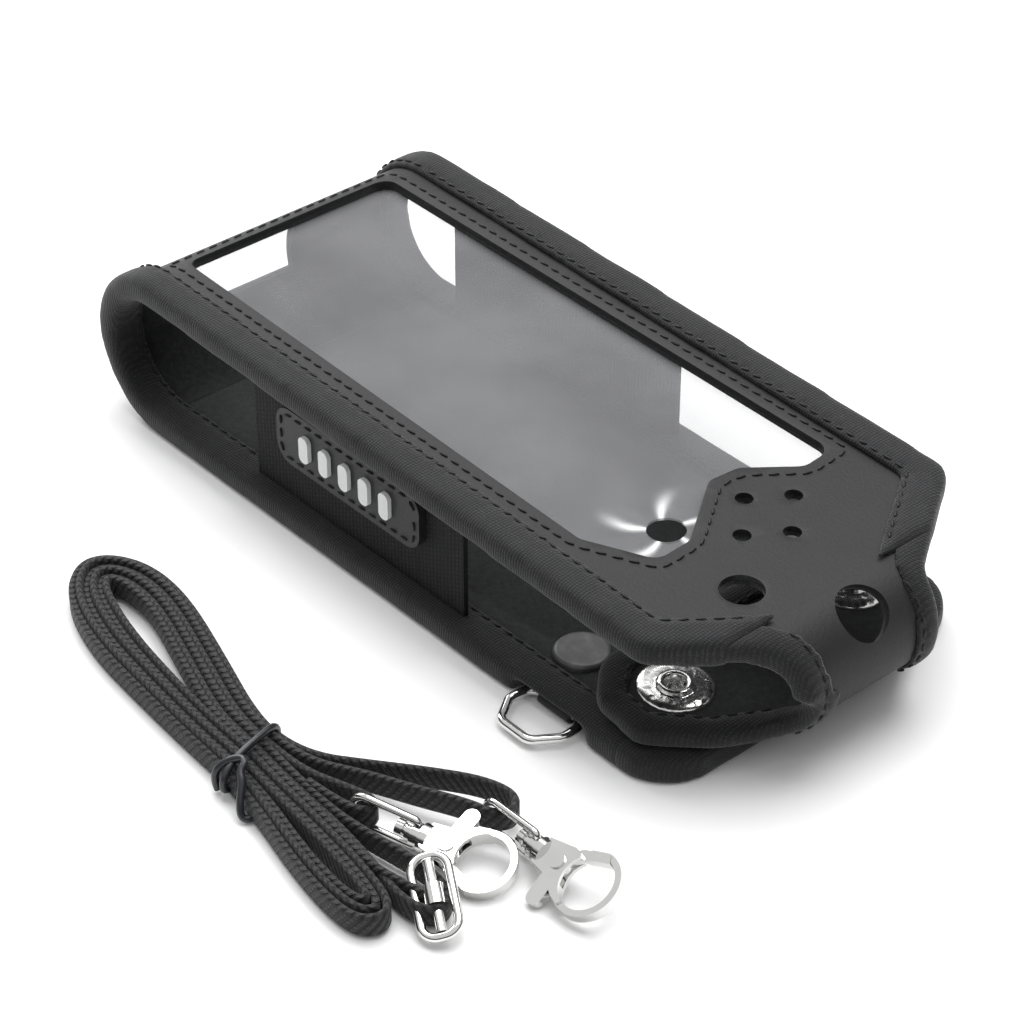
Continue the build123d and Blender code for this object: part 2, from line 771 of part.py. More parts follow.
def clasp_gate():
    """The sprung gate between the cheeks: its disc, its thumb lever and its closing arm."""
    half = slot_half - gate_fit
    pivot = (rivet_x, 0.0)
    gate = Pos(rivet_x, 0, 0) * Cylinder(gate_disc_radius, 2 * half)
    gate = gate + bar_between(pivot, thumb_end, thumb_radius, half)
    gate = gate + bar_between(pivot, gate_knee, gate_arm_radius, half)
    gate = gate + bar_between(gate_knee, gate_tip, gate_arm_radius, half)
    thick = bar_between(gate_knee, gate_tip, gate_arm_radius, ring_half_thickness)
    gate = gate + (thick & block((gate_thick_x, -20, -9), (40, 20, 9)))
    gate = gate & (Pos(rivet_x, 0, 0) * Cylinder(gate_reach - gate_fit, 10))
    return gate - Pos(rivet_x, 0, 0) * Cylinder(rivet_radius + gate_fit, 10)


def save_clasp(name, place, turn, dip, roll):
    """One whole swivel clasp, whose hook has rolled in its upright eye."""
    rolled = clasp_location(place, turn, dip, roll)
    save(f"{name}_clasp_eye", clasp_location(place, turn, dip) * clasp_eye())
    save(f"{name}_clasp_hook", rolled * clasp_hook())
    save(f"{name}_clasp_rivet", rolled * clasp_rivet())
    save(f"{name}_clasp_gate", rolled * clasp_gate())


os.makedirs("parts", exist_ok=True)
save("back_leather", back_panel(0, leather_thickness))
save("back_lining", back_panel(-lining_thickness, 0))
save("end_leather", end_wall(0, leather_thickness))
save("end_lining", end_wall(-lining_thickness, 0))
save("front_leather", front_panel(0, leather_thickness))
save("front_lining", front_panel(-lining_thickness, 0))
save("window_film", window_film())
save("mouth_binding", mouth_binding())
save("badge_patch", badge_patch())
save("badge_bars", badge_bars())
for side_name, side_sign, mesh_x in (("near", -1, near_mesh_x), ("far", 1, far_mesh_x)):
    save(f"{side_name}_binding", side_binding(side_sign))
    save(f"{side_name}_mesh", mesh_panel(side_sign, mesh_x))
    save(f"{side_name}_stud_cap", stud_cap(side_sign))
    save(f"{side_name}_back_stud", back_stud(side_sign))
    save(f"{side_name}_d_ring", d_ring(side_sign))
    save(f"{side_name}_ring_tab", ring_tab(side_sign))
save("flap_leather", flap_layer(0, leather_thickness))
save("flap_lining", flap_layer(-lining_thickness, 0))
save("flap_binding", flap_binding())
for side_name, snap_y in zip(("near", "far"), flap_snap_ys()):
    save(f"{side_name}_snap_flange", snap_flange(snap_y))
    save(f"{side_name}_snap_socket", snap_socket(snap_y))
save("strap_hank", hank())
save("strap_lead", strap_band(lead_points, strap_foot(first_clasp_place, first_clasp_dip)))
save("strap_tail", strap_band(tail_points, strap_foot(second_clasp_place, second_clasp_dip)))
save("hank_tie", hank_tie())
save("slider_frame", slider_frame())
save("slider_bar", slider_bar())
save_clasp("first", first_clasp_place, first_clasp_turn, first_clasp_dip, first_clasp_roll)
save_clasp("second", second_clasp_place, second_clasp_turn, second_clasp_dip, second_clasp_roll)
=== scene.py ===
"""A soft case for a hand-held radio, with a clear window, a flap and a bundled neck strap.

Every length in a comment is in millimetres, and every stored length is in metres.
"""

import math

import bmesh
import bpy
from mathutils import Matrix, Vector, noise
from mathutils.bvhtree import BVHTree
from mathutils.geometry import intersect_point_line
from mathutils.kdtree import KDTree


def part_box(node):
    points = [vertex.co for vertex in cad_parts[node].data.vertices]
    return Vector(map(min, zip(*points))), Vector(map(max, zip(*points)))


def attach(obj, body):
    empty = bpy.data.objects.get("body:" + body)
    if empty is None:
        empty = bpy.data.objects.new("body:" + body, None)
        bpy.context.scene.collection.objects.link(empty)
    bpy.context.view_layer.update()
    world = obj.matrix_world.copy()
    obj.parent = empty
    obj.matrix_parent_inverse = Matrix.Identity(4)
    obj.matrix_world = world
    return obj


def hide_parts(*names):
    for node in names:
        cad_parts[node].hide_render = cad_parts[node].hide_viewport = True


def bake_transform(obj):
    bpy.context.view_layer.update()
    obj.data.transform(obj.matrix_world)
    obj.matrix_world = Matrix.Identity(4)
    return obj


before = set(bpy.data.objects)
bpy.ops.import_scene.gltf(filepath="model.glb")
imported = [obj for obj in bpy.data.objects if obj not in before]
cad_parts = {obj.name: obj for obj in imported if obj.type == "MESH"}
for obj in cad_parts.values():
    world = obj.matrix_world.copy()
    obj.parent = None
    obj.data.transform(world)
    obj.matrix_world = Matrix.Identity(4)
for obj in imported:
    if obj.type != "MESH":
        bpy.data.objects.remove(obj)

bl_info = {
    "name": "Soft radio case",
    "version": (1, 0, 0),
    "blender": (4, 5, 0),
    "location": "View3D > Sidebar > Radio case",
    "description": "Makes a soft radio case with a clear window and its clip-on neck strap",
    "category": "Object",
}

MM = 0.001
PATTERN_X = 68.25  # the frame's origin, in the middle of the mouth's tape, on the pattern's X


def spot(x, y, z=0.0):
    """A place on the pattern, in its millimetres, in the frame's metres."""
    return Vector((x - PATTERN_X, y, z)) * MM


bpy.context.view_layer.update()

# ---------------------------------------------------------------- sizes shared by the pieces

END_CENTRE = spot(-56.7, 0, 15.5)
BEND_CENTRE = spot(74.5, 0, 15.6)
WINDOW = [(-59.8, -22.8), (42, -22.8), (53.5, -17), (53.2, -10), (44, 3), (44.5, 9), (51, 17.5),
          (50.5, 24), (-59.8, 22)]
FRONT_EDGE = [(-130, -34), (68, -34), (81, -17), (95, -11.7), (95, 12), (80, 13.5), (66.5, 34),
              (-130, 34)]
BACK_EDGE = [(-130, -34), (73.5, -34), (73.5, 34), (-130, 34)]
RETURN_EDGE = [(95, -11.7), (79.5, -14.5), (74, -24.5), (66, -32.6), (56, -31.8), (50, -25),
               (50, 23.5), (56, 30.3), (66, 31), (74, 23), (80, 13.5), (95, 12)]
FLAP_JOINT = spot(74.45, 0, 20)  # where the front's tape ends and the flap's begins
MOUTH_JOINT = spot(63, 26, 6)  # where the long edges' tape ends and the mouth's begins
FILM_HOLE = spot(47, -9)
CREASE_START = spot(57, 0, 27.3)
CREASE_END = spot(65, 0, 31.3)
HALF_WIDTH = 34
SEAM_INSET = 5.9  # from the outer edge of a panel to the seam in its tape
FLAP_SEAM_INSET = 4.1
FLAP_NEAR_SEAM_INSET = 4.2
WINDOW_SEAM_INSET = 2.1
INSIDE_Z = 15.5  # between the panels, where rays start that look at the inside
INSIDE_FLAP_Z = 15.6
BEND_RADIUS = 9
BEND_DROP = -0.032  # fall of the front per step along it, where it meets the flap
NEAR_TAPER = 1.31  # the tapes' way inwards per step along the flap
FAR_TAPER = 1.52
SNAP_TILT = math.radians(3)
SNAP_RADIUS = 6.2

# The strap's route. Each turn of the large loop lies between the outermost and the innermost.
HEAD_OUTER = [(18, -80.5), (4, -79.6), (-12, -78.2), (-24.2, -74.3), (-29.9, -68.3),
              (-28.3, -63.2), (-21, -59.9), (-10, -60.6), (6, -65.4), (18, -69.3)]
HEAD_INNER = [(17, -75.9), (4, -74.6), (-8, -72.9), (-18.5, -70.2), (-22.6, -68.3),
              (-22.2, -66.6), (-18.6, -65.9), (-11.5, -66.4), (2.5, -70.9), (15.5, -75)]
NECK_X = 26.0
NECK_LOW_Y = -80.8
NECK_PITCH = 0.93
LAYERS = 6
LOW_Z = 2.1
HIGH_Z = 2.85
START_RUN = [(68.4, -76.2), (64, -77.4), (58, -78.25), (48, -77.05), (36, -76.2)]
OUTER_FAN = [(36, -77.2), (48, -78.1), (58, -79.2), (66, -80.7), (68, -83.6), (65.6, -86.7),
             (59, -86.9), (49, -85.4), (36, -82.3)]
MIDDLE_FAN = [(36, -81.2), (49, -84.2), (58.4, -85.6), (64.2, -85.4), (66, -83.5), (64.4, -81.7),
              (57.6, -80.3), (48, -79.15), (36, -78.15)]
INNER_FAN = [(36, -79.1), (48, -80.2), (57, -81.4), (62.2, -82.2), (63.6, -83), (62.4, -84),
             (57.6, -84.2), (49, -83), (36, -80.1)]
SLIDER_FAN = [(36, -75.3), (48, -76), (58, -77.3), (66, -79), (70.6, -78.2), (72, -75.6),
              (70.4, -73.1), (65.5, -72.3), (59, -73), (53, -74.2), (46, -75), (36, -74.4)]
LEAD_RUN = [(34, -69.2, 2.4), (41, -64.4, 2.8), (49, -58.6, 3.2), (56, -54.2, 3.5),
            (61.8, -52.9, 3.6), (64.2, -55.4, 3.6), (62.9, -58.15, 3.6), (58.1, -59.5, 3.6),
            (51, -63, 3.4), (43, -66.3, 3.1), (35, -70.6, 2.7)]
TAIL_RUN = [(36, -72.6, 2.6), (44, -70.6, 3.5), (48.4, -69.4, 3.65), (50.4, -70.7, 3.65),
            (48.6, -73.1, 3.6), (42, -73.9, 3.4), (38.5, -74, 3.2)]
TIE_BAND = [(28, -77, 0.6), (26.4, -71, 0.6), (25.2, -69.5, 2.4), (25.4, -69.9, 5.2),
            (27.1, -75, 6), (28.6, -80.6, 5.8), (29.6, -83.4, 4), (29.2, -82.8, 0.9),
            (28.4, -79, 0.6)]
TIE_TWIST = [(27.6, -82.9, 0.9), (26.9, -83.3, 3.6), (27.9, -81.3, 5.9), (29.6, -79.5, 6.6),
             (31, -79.9, 6.7), (31.4, -81.3, 6), (32.9, -82, 5.2), (34.3, -83.7, 3),
             (35.3, -84.3, 1), (36.3, -83.1, 0.7), (35.8, -81.6, 1.2)]


# ---------------------------------------------------------------- settings

def length(name, description, default, top=0.05):
    """A size in metres."""
    return bpy.props.FloatProperty(name=name, description=description, default=default, min=0,
                                   max=top, precision=5, subtype="DISTANCE", unit="LENGTH")


def colour(name, description, default):
    """A colour of a surface."""
    return bpy.props.FloatVectorProperty(name=name, description=description, default=default,
                                         size=3, min=0, max=1, subtype="COLOR")


def number(name, description, default, top=10.0):
    """A plain number."""
    return bpy.props.FloatProperty(name=name, description=description, default=default, min=0,
                                   max=top)


class StrapSettings(bpy.types.PropertyGroup):
    """The flat braid of the neck strap and the wire that ties it."""

    width: length("Width", "Height of the braid as it lies on its edge", 0.004)
    thickness: length("Thickness", "How thick the braid is", 0.00118)
    braid_pitch: length("Braid pitch", "Length of one plait of the braid", 0.00145)
    tie_radius: length("Tie radius", "Radius of the coated wire round the hank", 0.0006)
    colour: colour("Braid", "Colour of the braid", (0.0085, 0.0085, 0.0093))
    tie_colour: colour("Tie", "Colour of the tie's coating", (0.016, 0.017, 0.02))


class TapeSettings(bpy.types.PropertyGroup):
    """The padded tape that binds every edge of the case."""

    voxel: length("Voxel", "Grain of the mesh that the tape is shaped from", 0.00062)
    rounding: bpy.props.IntProperty(name="Rounding", default=12, min=0, max=60,
                                    description="How often the tape's edges are rounded")
    puff: length("Puff", "How far the padding pushes the cloth out", 0.00022)
    groove: length("Groove", "How deep the seams pull the padding in", 0.0004)
    run_on: length("Run on", "How far each tape's cut end runs on inside the next", 0.0011)
    rib_pitch: length("Rib pitch", "Distance between the ribs of the cloth", 0.00056)
    colour: colour("Tape", "Colour of the binding cloth", (0.0105, 0.0107, 0.0118))
    fleck: colour("Fleck", "Colour of the lighter fibres", (0.044, 0.046, 0.05))


class SewingSettings(bpy.types.PropertyGroup):
    """The seams."""

    pitch: length("Stitch pitch", "From the start of one stitch to the next", 0.0027)
    stitch: length("Stitch length", "How long a stitch shows", 0.002)
    thread: length("Thread radius", "Radius of the sewing thread", 0.00027)
    colour: colour("Thread", "Colour of the thread", (0.0035, 0.0037, 0.0055))


class PanelSettings(bpy.types.PropertyGroup):
    """The leather, its felt lining, the elastic mesh and the window film."""

    leather: colour("Leather", "Colour of the leather", (0.0185, 0.0185, 0.019))
    grain: length("Grain", "Size of the leather's pores", 0.0005)
    run_on: length("Run on", "How far the front's end runs on over the flap's bend", 0.00065)
    felt: colour("Felt", "Colour of the lining", (0.0085, 0.0093, 0.0097))
    mesh: colour("Mesh", "Colour of the elastic mesh", (0.0062, 0.0068, 0.0066))
    mesh_pitch: length("Mesh pitch", "Distance between the mesh's columns", 0.0009)
    film: colour("Film", "Haze of the window film", (0.35, 0.352, 0.365))
    haze: number("Haze", "How much of the film is haze", 0.27, 1.0)
    ripple: length("Ripple", "Height of the ripples in the film", 0.0005)


class TrimSettings(bpy.types.PropertyGroup):
    """The metal parts, the stud caps and the side badge."""

    nickel: colour("Nickel", "Colour of the plated metal", (0.82, 0.82, 0.81))
    cap: colour("Cap", "Colour of the stud caps", (0.095, 0.095, 0.099))
    badge: colour("Badge", "Colour of the moulded badge", (0.008, 0.0085, 0.009))
    bars: colour("Bars", "Colour of the badge's raised bars", (0.83, 0.84, 0.84))


class StageSettings(bpy.types.PropertyGroup):
    """The floor, the lights and the camera."""

    floor: colour("Floor", "Colour of the floor", (0.93, 0.93, 0.93))
    walls: colour("Walls", "Colour of the room's walls", (0.06, 0.06, 0.06))
    lens: number("Lens", "Focal length in millimetres", 105.47, 300.0)
    key: number("Key light", "Strength of the large light overhead, in watts", 10.0, 500.0)
    side: number("Side light", "Strength of the light at the far left, in watts", 6.0, 500.0)


SETTINGS = {"case_strap": StrapSettings, "case_tape": TapeSettings, "case_sewing": SewingSettings,
            "case_panels": PanelSettings, "case_trim": TrimSettings, "case_stage": StageSettings}


# ---------------------------------------------------------------- shader maths

class Value:
    """A number that varies over a surface. Python's operators add Math nodes."""

    def __init__(self, finish, socket):
        self.finish = finish
        self.socket = socket

    def math(self, operation, *others):
        """This value and others through one Math node."""
        values = dict(enumerate((self, *others)))
        made = self.finish.node("ShaderNodeMath", {"operation": operation}, values)
        return Value(self.finish, made.outputs[0])

    def reflected(self, operation, other):
        """The same with the plain number first."""
        made = self.finish.node("ShaderNodeMath", {"operation": operation}, {0: other, 1: self})
        return Value(self.finish, made.outputs[0])

    def __add__(self, other):
        return self.math("ADD", other)

    __radd__ = __add__

    def __sub__(self, other):
        return self.math("SUBTRACT", other)

    def __rsub__(self, other):
        return self.reflected("SUBTRACT", other)

    def __mul__(self, other):
        return self.math("MULTIPLY", other)

    __rmul__ = __mul__

    def __truediv__(self, other):
        return self.math("DIVIDE", other)

    def wave(self):
        """Its sine, from 0 to 1, once each whole number."""
        return (self * (2 * math.pi)).math("SINE") * 0.5 + 0.5

    def step(self, low, high):
        """A smooth step from 0 at low to 1 at high."""
        settings = {"interpolation_type": "SMOOTHSTEP"}
        made = self.finish.node("ShaderNodeMapRange", settings,
                                {"Value": self, "From Min": low, "From Max": high})
        return Value(self.finish, made.outputs["Result"])


class Finish:
    """One material and the nodes in it."""

    def __init__(self, name):
        self.material = bpy.data.materials.new(name)
        self.material.use_nodes = True
        self.nodes = self.material.node_tree.nodes
        self.links = self.material.node_tree.links
        self.nodes.clear()
        self.shader = self.node("ShaderNodeBsdfPrincipled")
        out = self.node("ShaderNodeOutputMaterial")
        self.links.new(self.shader.outputs[0], out.inputs["Surface"])
        self.at = self.node("ShaderNodeTexCoord").outputs["Object"]  # in metres

    def fill(self, made, values):
        """Sets or links a node's sockets."""
        for key, value in values.items():
            value = value.socket if isinstance(value, Value) else value
            if isinstance(value, bpy.types.NodeSocket):
                self.links.new(value, made.inputs[key])
            else:
                made.inputs[key].default_value = value

    def node(self, kind, settings=None, values=None):
        """A node of that type, with its settings and then its sockets."""
        made = self.nodes.new(kind)
        for key, value in (settings or {}).items():
            setattr(made, key, value)
        self.fill(made, values or {})
        return made

    def surface(self, **values):
        """Sets or links the shader's own sockets."""
        self.fill(self.shader, {key.replace("_", " "): value for key, value in values.items()})

    def axes(self, vector):
        """A vector's three numbers."""
        made = self.node("ShaderNodeSeparateXYZ", {}, {0: vector})
        return [Value(self, made.outputs[i]) for i in range(3)]

    def noise(self, vector, size, detail=3.0, roughness=0.55):
        """Noise whose lumps are about that size, from 0 to 1."""
        made = self.node("ShaderNodeTexNoise", {}, {"Vector": vector, "Scale": 1 / size,
                                                    "Detail": detail, "Roughness": roughness})
        return Value(self, made.outputs["Fac"])

    def cells(self, vector, size):
        """Distance to the nearest of scattered points, from 0 to about 1."""
        made = self.node("ShaderNodeTexVoronoi", {"feature": "SMOOTH_F1"},
                         {"Vector": vector, "Scale": 1 / size, "Smoothness": 0.5})
        return Value(self, made.outputs["Distance"])

    def blend(self, factor, first, second):
        """One colour into another."""
        made = self.node("ShaderNodeMix", {"data_type": "RGBA"})
        made.inputs[0].default_value = 0.5
        self.fill(made, {0: factor, 6: first, 7: second})
        return made.outputs[2]

    def tone(self, factor, colour, dark, light):
        """Mottles the surface's colour between two shades."""
        self.surface(Base_Color=self.blend(factor, rgba(colour, dark), rgba(colour, light)))

    def bump(self, height, distance, strength=1.0):
        """Relief of that height, in metres, into the shader's normal."""
        made = self.node("ShaderNodeBump", {}, {"Height": height, "Distance": distance,
                                                "Strength": strength})
        self.surface(Normal=made.outputs[0])


def rgba(colour, scale=1.0):
    """A colour, lightened or darkened, with its alpha."""
    return (*(min(1.0, c * scale) for c in colour), 1.0)


def kept(name, make):
    """A finish by name, made the first time it is asked for."""
    return bpy.data.materials.get(name) or make(name)


def leather_finish(name):
    """Smooth charcoal leather with a fine grain."""
    cfg = bpy.context.scene.case_panels
    f = Finish(name)
    pores = f.cells(f.at, cfg.grain)
    fine = f.noise(f.at, cfg.grain * 0.35, 2.0)
    patches = f.noise(f.at, 0.009, 4.0)
    tone = patches * 0.7 + fine * 0.3
    f.tone(tone.step(0.25, 0.75), cfg.leather, 0.82, 1.2)
    f.surface(Roughness=0.44 + patches * 0.16 + fine * 0.06, Specular_IOR_Level=0.3)
    f.bump(pores * 0.7 + fine * 0.45 + patches * 0.5, 0.00009, 0.55)
    return f.material


def tape_finish(name):
    """Ribbed binding cloth with lighter fibres."""
    cfg = bpy.context.scene.case_tape
    f = Finish(name)
    x, y, z = f.axes(f.at)
    wander = f.noise(f.at, 0.004, 2.0) * 0.0009
    across = ((x + wander) / cfg.rib_pitch).wave()
    along = ((y * 0.8 + z * 1.1 + wander) / (cfg.rib_pitch * 0.8)).wave()
    weave = across * 0.55 + along * 0.45
    fibres = f.noise(f.at, 0.00028, 2.0, 0.7)
    worn = f.noise(f.at, 0.006, 5.0)
    fleck = (fibres + weave * 0.22).step(0.66, 0.82) * (0.35 + worn * 0.65)
    base = f.blend(worn.step(0.3, 0.7), rgba(cfg.colour, 0.78), rgba(cfg.colour, 1.3))
    ground = f.blend(weave.step(0.2, 0.9), rgba(cfg.colour, 0.6), base)
    f.surface(Base_Color=f.blend(fleck, ground, rgba(cfg.fleck)), Roughness=0.74 + fibres * 0.18)
    f.surface(Sheen_Weight=0.22, Sheen_Roughness=0.45, Specular_IOR_Level=0.35)
    f.bump(weave * 0.8 + fibres * 0.5, 0.00012, 0.8)
    return f.material


def felt_finish(name):
    """Short dark pile, mottled."""
    cfg = bpy.context.scene.case_panels
    f = Finish(name)
    clumps = f.noise(f.at, 0.0011, 5.0, 0.7)
    pile = f.noise(f.at, 0.00022, 3.0, 0.8)
    broad = f.noise(f.at, 0.012, 2.0)
    tone = clumps * 0.6 + pile * 0.25 + broad * 0.15
    f.tone(tone.step(0.38, 0.66), cfg.felt, 0.55, 2.3)
    f.surface(Roughness=0.9 + pile * 0.08, Specular_IOR_Level=0.2)
    f.surface(Sheen_Weight=0.15, Sheen_Roughness=0.6)
    f.bump(clumps * 0.5 + pile, 0.00018, 0.8)
    return f.material


def mesh_finish(name):
    """Elastic mesh with short raised dashes in columns."""
    cfg = bpy.context.scene.case_panels
    f = Finish(name)
    x, y, z = f.axes(f.at)
    wander = f.noise(f.at, 0.003, 1.0) * 0.00025
    column = ((x + wander) / cfg.mesh_pitch).wave()
    odd = (x / (cfg.mesh_pitch * 2)).wave().step(0.45, 0.55)
    dash = (z / (cfg.mesh_pitch * 0.95) + odd * 0.5).wave()
    fibre = f.noise(f.at, 0.0003, 2.0, 0.7)
    raised = (column.step(0.35, 0.95) * dash.step(0.25, 0.8)) * (0.5 + fibre)
    f.tone(raised, cfg.mesh, 0.5, 4.2)
    f.surface(Roughness=0.72 + fibre * 0.15, Specular_IOR_Level=0.4)
    f.bump(raised + fibre * 0.2, 0.00022, 0.9)
    return f.material


def film_finish(name):
    """Clear flexible film with a light haze, fine scuffs and painted highlight streaks round its
    hole.
    """
    cfg = bpy.context.scene.case_panels
    f = Finish(name)
    clouds = f.noise(f.at, 0.03, 3.0)
    scuffs = f.noise(f.at, 0.0016, 6.0, 0.75)
    ridges = f.noise(f.at, 0.012, 2.0)
    # Painted highlight: spiral streaks round the hole, whitened and made more opaque, stand in
    # for light on the film.
    x, y, _ = f.axes(f.at)
    across, along = x - FILM_HOLE.x, y - FILM_HOLE.y
    away = (across * across + along * along).math("SQRT")
    turn = along.math("ARCTAN2", across) * (5 / (2 * math.pi)) + (away + ridges * 0.004) * 30
    painted_glare = turn.wave().math("POWER", 9) * (1 - away.step(0.004, 0.013))
    hazy = f.blend(clouds.step(0.3, 0.7), rgba(cfg.film, 0.9), rgba(cfg.film, 1.08))
    f.surface(Base_Color=f.blend(painted_glare, hazy, rgba((0.95, 0.95, 0.95))),
              Alpha=cfg.haze - 0.05 + clouds * 0.1 + scuffs.step(0.62, 0.72) * 0.03
              + painted_glare * 0.55, Roughness=0.16 + scuffs * 0.1)
    f.surface(Specular_IOR_Level=0.3)
    f.bump(ridges + scuffs * 0.03, 0.0004, 0.5)
    return f.material


def mottled(name, colour, shades, grain, gloss, relief, patch=None, edges=None):
    """A plain finish: one colour in two shades, over a fine relief."""
    f = Finish(name)
    fine = f.noise(f.at, *grain)
    tone = f.noise(f.at, *patch) if patch else fine
    f.tone(tone.step(*edges) if edges else tone, colour, *shades)
    f.surface(Roughness=gloss[0] + fine * gloss[1])
    f.bump(fine, *relief)
    return f.material


def badge_finish(name):
    """Moulded satin rubber."""
    return mottled(name, bpy.context.scene.case_trim.badge, (0.8, 1.3), grain=(0.0004, 3.0),
                   gloss=(0.42, 0.2), relief=(0.00005, 0.6), patch=(0.006, 3.0))


def bars_finish(name):
    """White moulded plastic."""
    return mottled(name, bpy.context.scene.case_trim.bars, (0.95, 1.0), grain=(0.0009, 3.0),
                   gloss=(0.34, 0.12), relief=(0.00003, 0.4), edges=(0.3, 0.8))


def cap_finish(name):
    """Satin black enamel, rubbed in places."""
    return mottled(name, bpy.context.scene.case_trim.cap, (0.8, 1.7), grain=(0.0006, 4.0),
                   gloss=(0.3, 0.14), relief=(0.00003, 0.5), patch=(0.004, 3.0),
                   edges=(0.4, 0.8))


def nickel_finish(name):
    """Polished plated metal with faint handling marks."""
    cfg = bpy.context.scene.case_trim
    f = Finish(name)
    haze = f.noise(f.at, 0.004, 4.0)
    marks = f.noise(f.at, 0.0007, 3.0)
    f.tone(haze, cfg.nickel, 0.86, 1.0)
    f.surface(Roughness=0.07 + haze * 0.08 + marks.step(0.55, 0.8) * 0.06, Metallic=1.0)
    f.bump(haze + marks * 0.3, 0.00007, 0.35)
    return f.material


def pressed_nickel_finish(name):
    """Thin nickel sheet, pressed uneven where a stud is closed."""
    cfg = bpy.context.scene.case_trim
    f = Finish(name)
    dents = f.cells(f.at, 0.0013)
    wrinkles = f.noise(f.at, 0.0008, 4.0, 0.65)
    f.tone(dents.step(0.1, 0.6), cfg.nickel, 0.7, 1.05)
    f.surface(Roughness=0.14 + wrinkles * 0.14, Metallic=1.0)
    f.bump(dents.step(0.2, 0.55) * 0.6 + wrinkles * 0.35, 0.00012, 0.6)
    return f.material


def thread_finish(name):
    """Twisted sewing thread."""
    return mottled(name, bpy.context.scene.case_sewing.colour, (0.6, 1.9), grain=(0.00025, 2.0),
                   gloss=(0.5, 0.25), relief=(0.0001, 0.8))


def braid_finish(name):
    """Flat braid: plaits that meet in a row of arrowheads along each edge."""
    cfg = bpy.context.scene.case_strap
    f = Finish(name)
    uv = f.node("ShaderNodeUVMap", {"uv_map": "Braid"}).outputs[0]
    run, around, _ = f.axes(uv)
    fibre = f.noise(f.at, 0.0002, 2.0, 0.7)
    lean = (run - around * 0.75).wave()
    cross = (run * 0.5 + around * 1.5).wave()
    plait = lean.step(0.12, 0.75) * (0.75 + cross * 0.25)
    f.tone(plait * (0.55 + fibre * 0.7), cfg.colour, 0.3, 2.9)
    f.surface(Roughness=0.6 + fibre * 0.25, Specular_IOR_Level=0.45, Sheen_Weight=0.1)
    f.bump(plait + fibre * 0.25, 0.0003, 1.0)
    return f.material


def tie_finish(name):
    """Shiny soft coating over a thin wire."""
    return mottled(name, bpy.context.scene.case_strap.tie_colour, (0.7, 1.6),
                   grain=(0.0015, 3.0), gloss=(0.24, 0.2), relief=(0.00008, 0.5))


# ---------------------------------------------------------------- mesh helpers

def object_of(bm, name, sharp=0.7):
    """A linked object from a bmesh, which is used up. Edges sharper than that stay crisp."""
    for face in bm.faces:
        face.smooth = True
    for edge in bm.edges:
        if len(edge.link_faces) == 2 and edge.calc_face_angle(0.0) > sharp:
            edge.smooth = False
    data = bpy.data.meshes.new(name)
    bm.to_mesh(data)
    bm.free()
    made = bpy.data.objects.new(name, data)
    bpy.context.scene.collection.objects.link(made)
    return made


def node_copy(node):
    """A bmesh of a part with its loose triangles joined."""
    bm = bmesh.new()
    bm.from_mesh(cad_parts[node].data)
    bmesh.ops.remove_doubles(bm, verts=bm.verts, dist=2e-6)
    return bm


def flat_copy(node):
    """The same with the triangles of each flat face joined as well."""
    bm = node_copy(node)
    bmesh.ops.dissolve_limit(bm, angle_limit=0.003, verts=bm.verts, edges=bm.edges)
    return bm


def finish_piece(piece, material, node=None):
    """Gives a piece its material and hides the part that it replaces."""
    piece.data.materials.clear()
    piece.data.materials.append(material)
    if node:
        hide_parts(node)
    return piece


def applied(piece):
    """The piece with its modifiers made part of its mesh."""
    graph = bpy.context.evaluated_depsgraph_get()
    data = bpy.data.meshes.new_from_object(piece.evaluated_get(graph))
    piece.modifiers.clear()
    old = piece.data
    piece.data = data
    data.name = old.name
    bpy.data.meshes.remove(old)
    return piece


def tree_of(*pieces):
    """A search tree over the faces of some pieces."""
    points, faces = [], []
    for piece in pieces:
        first = len(points)
        points += [v.co.copy() for v in piece.data.vertices]
        faces += [[first + i for i in p.vertices] for p in piece.data.polygons]
    return BVHTree.FromPolygons(points, faces)


def inset_outline(points, distance):
    """A closed outline moved to its left by that distance, with mitred corners."""
    moved = []
    for i, here in enumerate(points):
        before = Vector(points[i - 1])
        after = Vector(points[(i + 1) % len(points)])
        here = Vector(here)
        first = (here - before).normalized() if here != before else (after - here).normalized()
        second = (after - here).normalized() if after != here else first
        left = Vector((-first.y, first.x)) + Vector((-second.y, second.x))
        moved.append(here + left * (distance / max(0.3, 1 + first.dot(second))))
    return moved


def stepped(points, step=0.8, closed=False, rounds=3):
    """Evenly spaced places along an outline, with its corners eased."""
    line = [Vector(p) for p in points] + ([Vector(points[0])] if closed else [])
    places = []
    for a, b in zip(line, line[1:]):
        count = max(1, round((b - a).length / step))
        places += [a.lerp(b, i / count) for i in range(count)]
    places.append(line[-1])
    for _ in range(rounds):
        eased = [(a + b * 2 + c) / 4 for a, b, c in zip(places, places[1:], places[2:])]
        places = [places[0], *eased, places[-1]]
    return places


def rays_down(points, top=60.0):
    """Rays that come straight down on plan places."""
    return [(spot(p.x, p.y, top), Vector((0, 0, -1))) for p in points]


def rays_up(points, low=-20.0):
    """Rays that come straight up on plan places."""
    return [(spot(p.x, p.y, low), Vector((0, 0, 1))) for p in points]


def rays_round(centre, y_at, start, end, inward=True, step=3.0):
    """Rays at a round wall, from one angle to another. 0 is up and 90 is towards +X."""
    rays = []
    count = max(2, round(abs(end - start) / step))
    for i in range(count + 1):
        angle = math.radians(start + (end - start) * i / count)
        out = Vector((math.sin(angle), 0, math.cos(angle)))
        foot = Vector((centre.x, y_at(angle) * MM, centre.z))
        rays.append((foot + out * (0.03 if inward else 0), -out if inward else out))
    return rays


def landed(tree, rays):
    """Where rays meet a surface, and which way it faces there."""
    hits = []
    for origin, direction in rays:
        place, normal, _, _ = tree.ray_cast(origin, direction)
        if place is not None:
            hits.append((place, normal if normal.dot(direction) < 0 else -normal))
    return hits


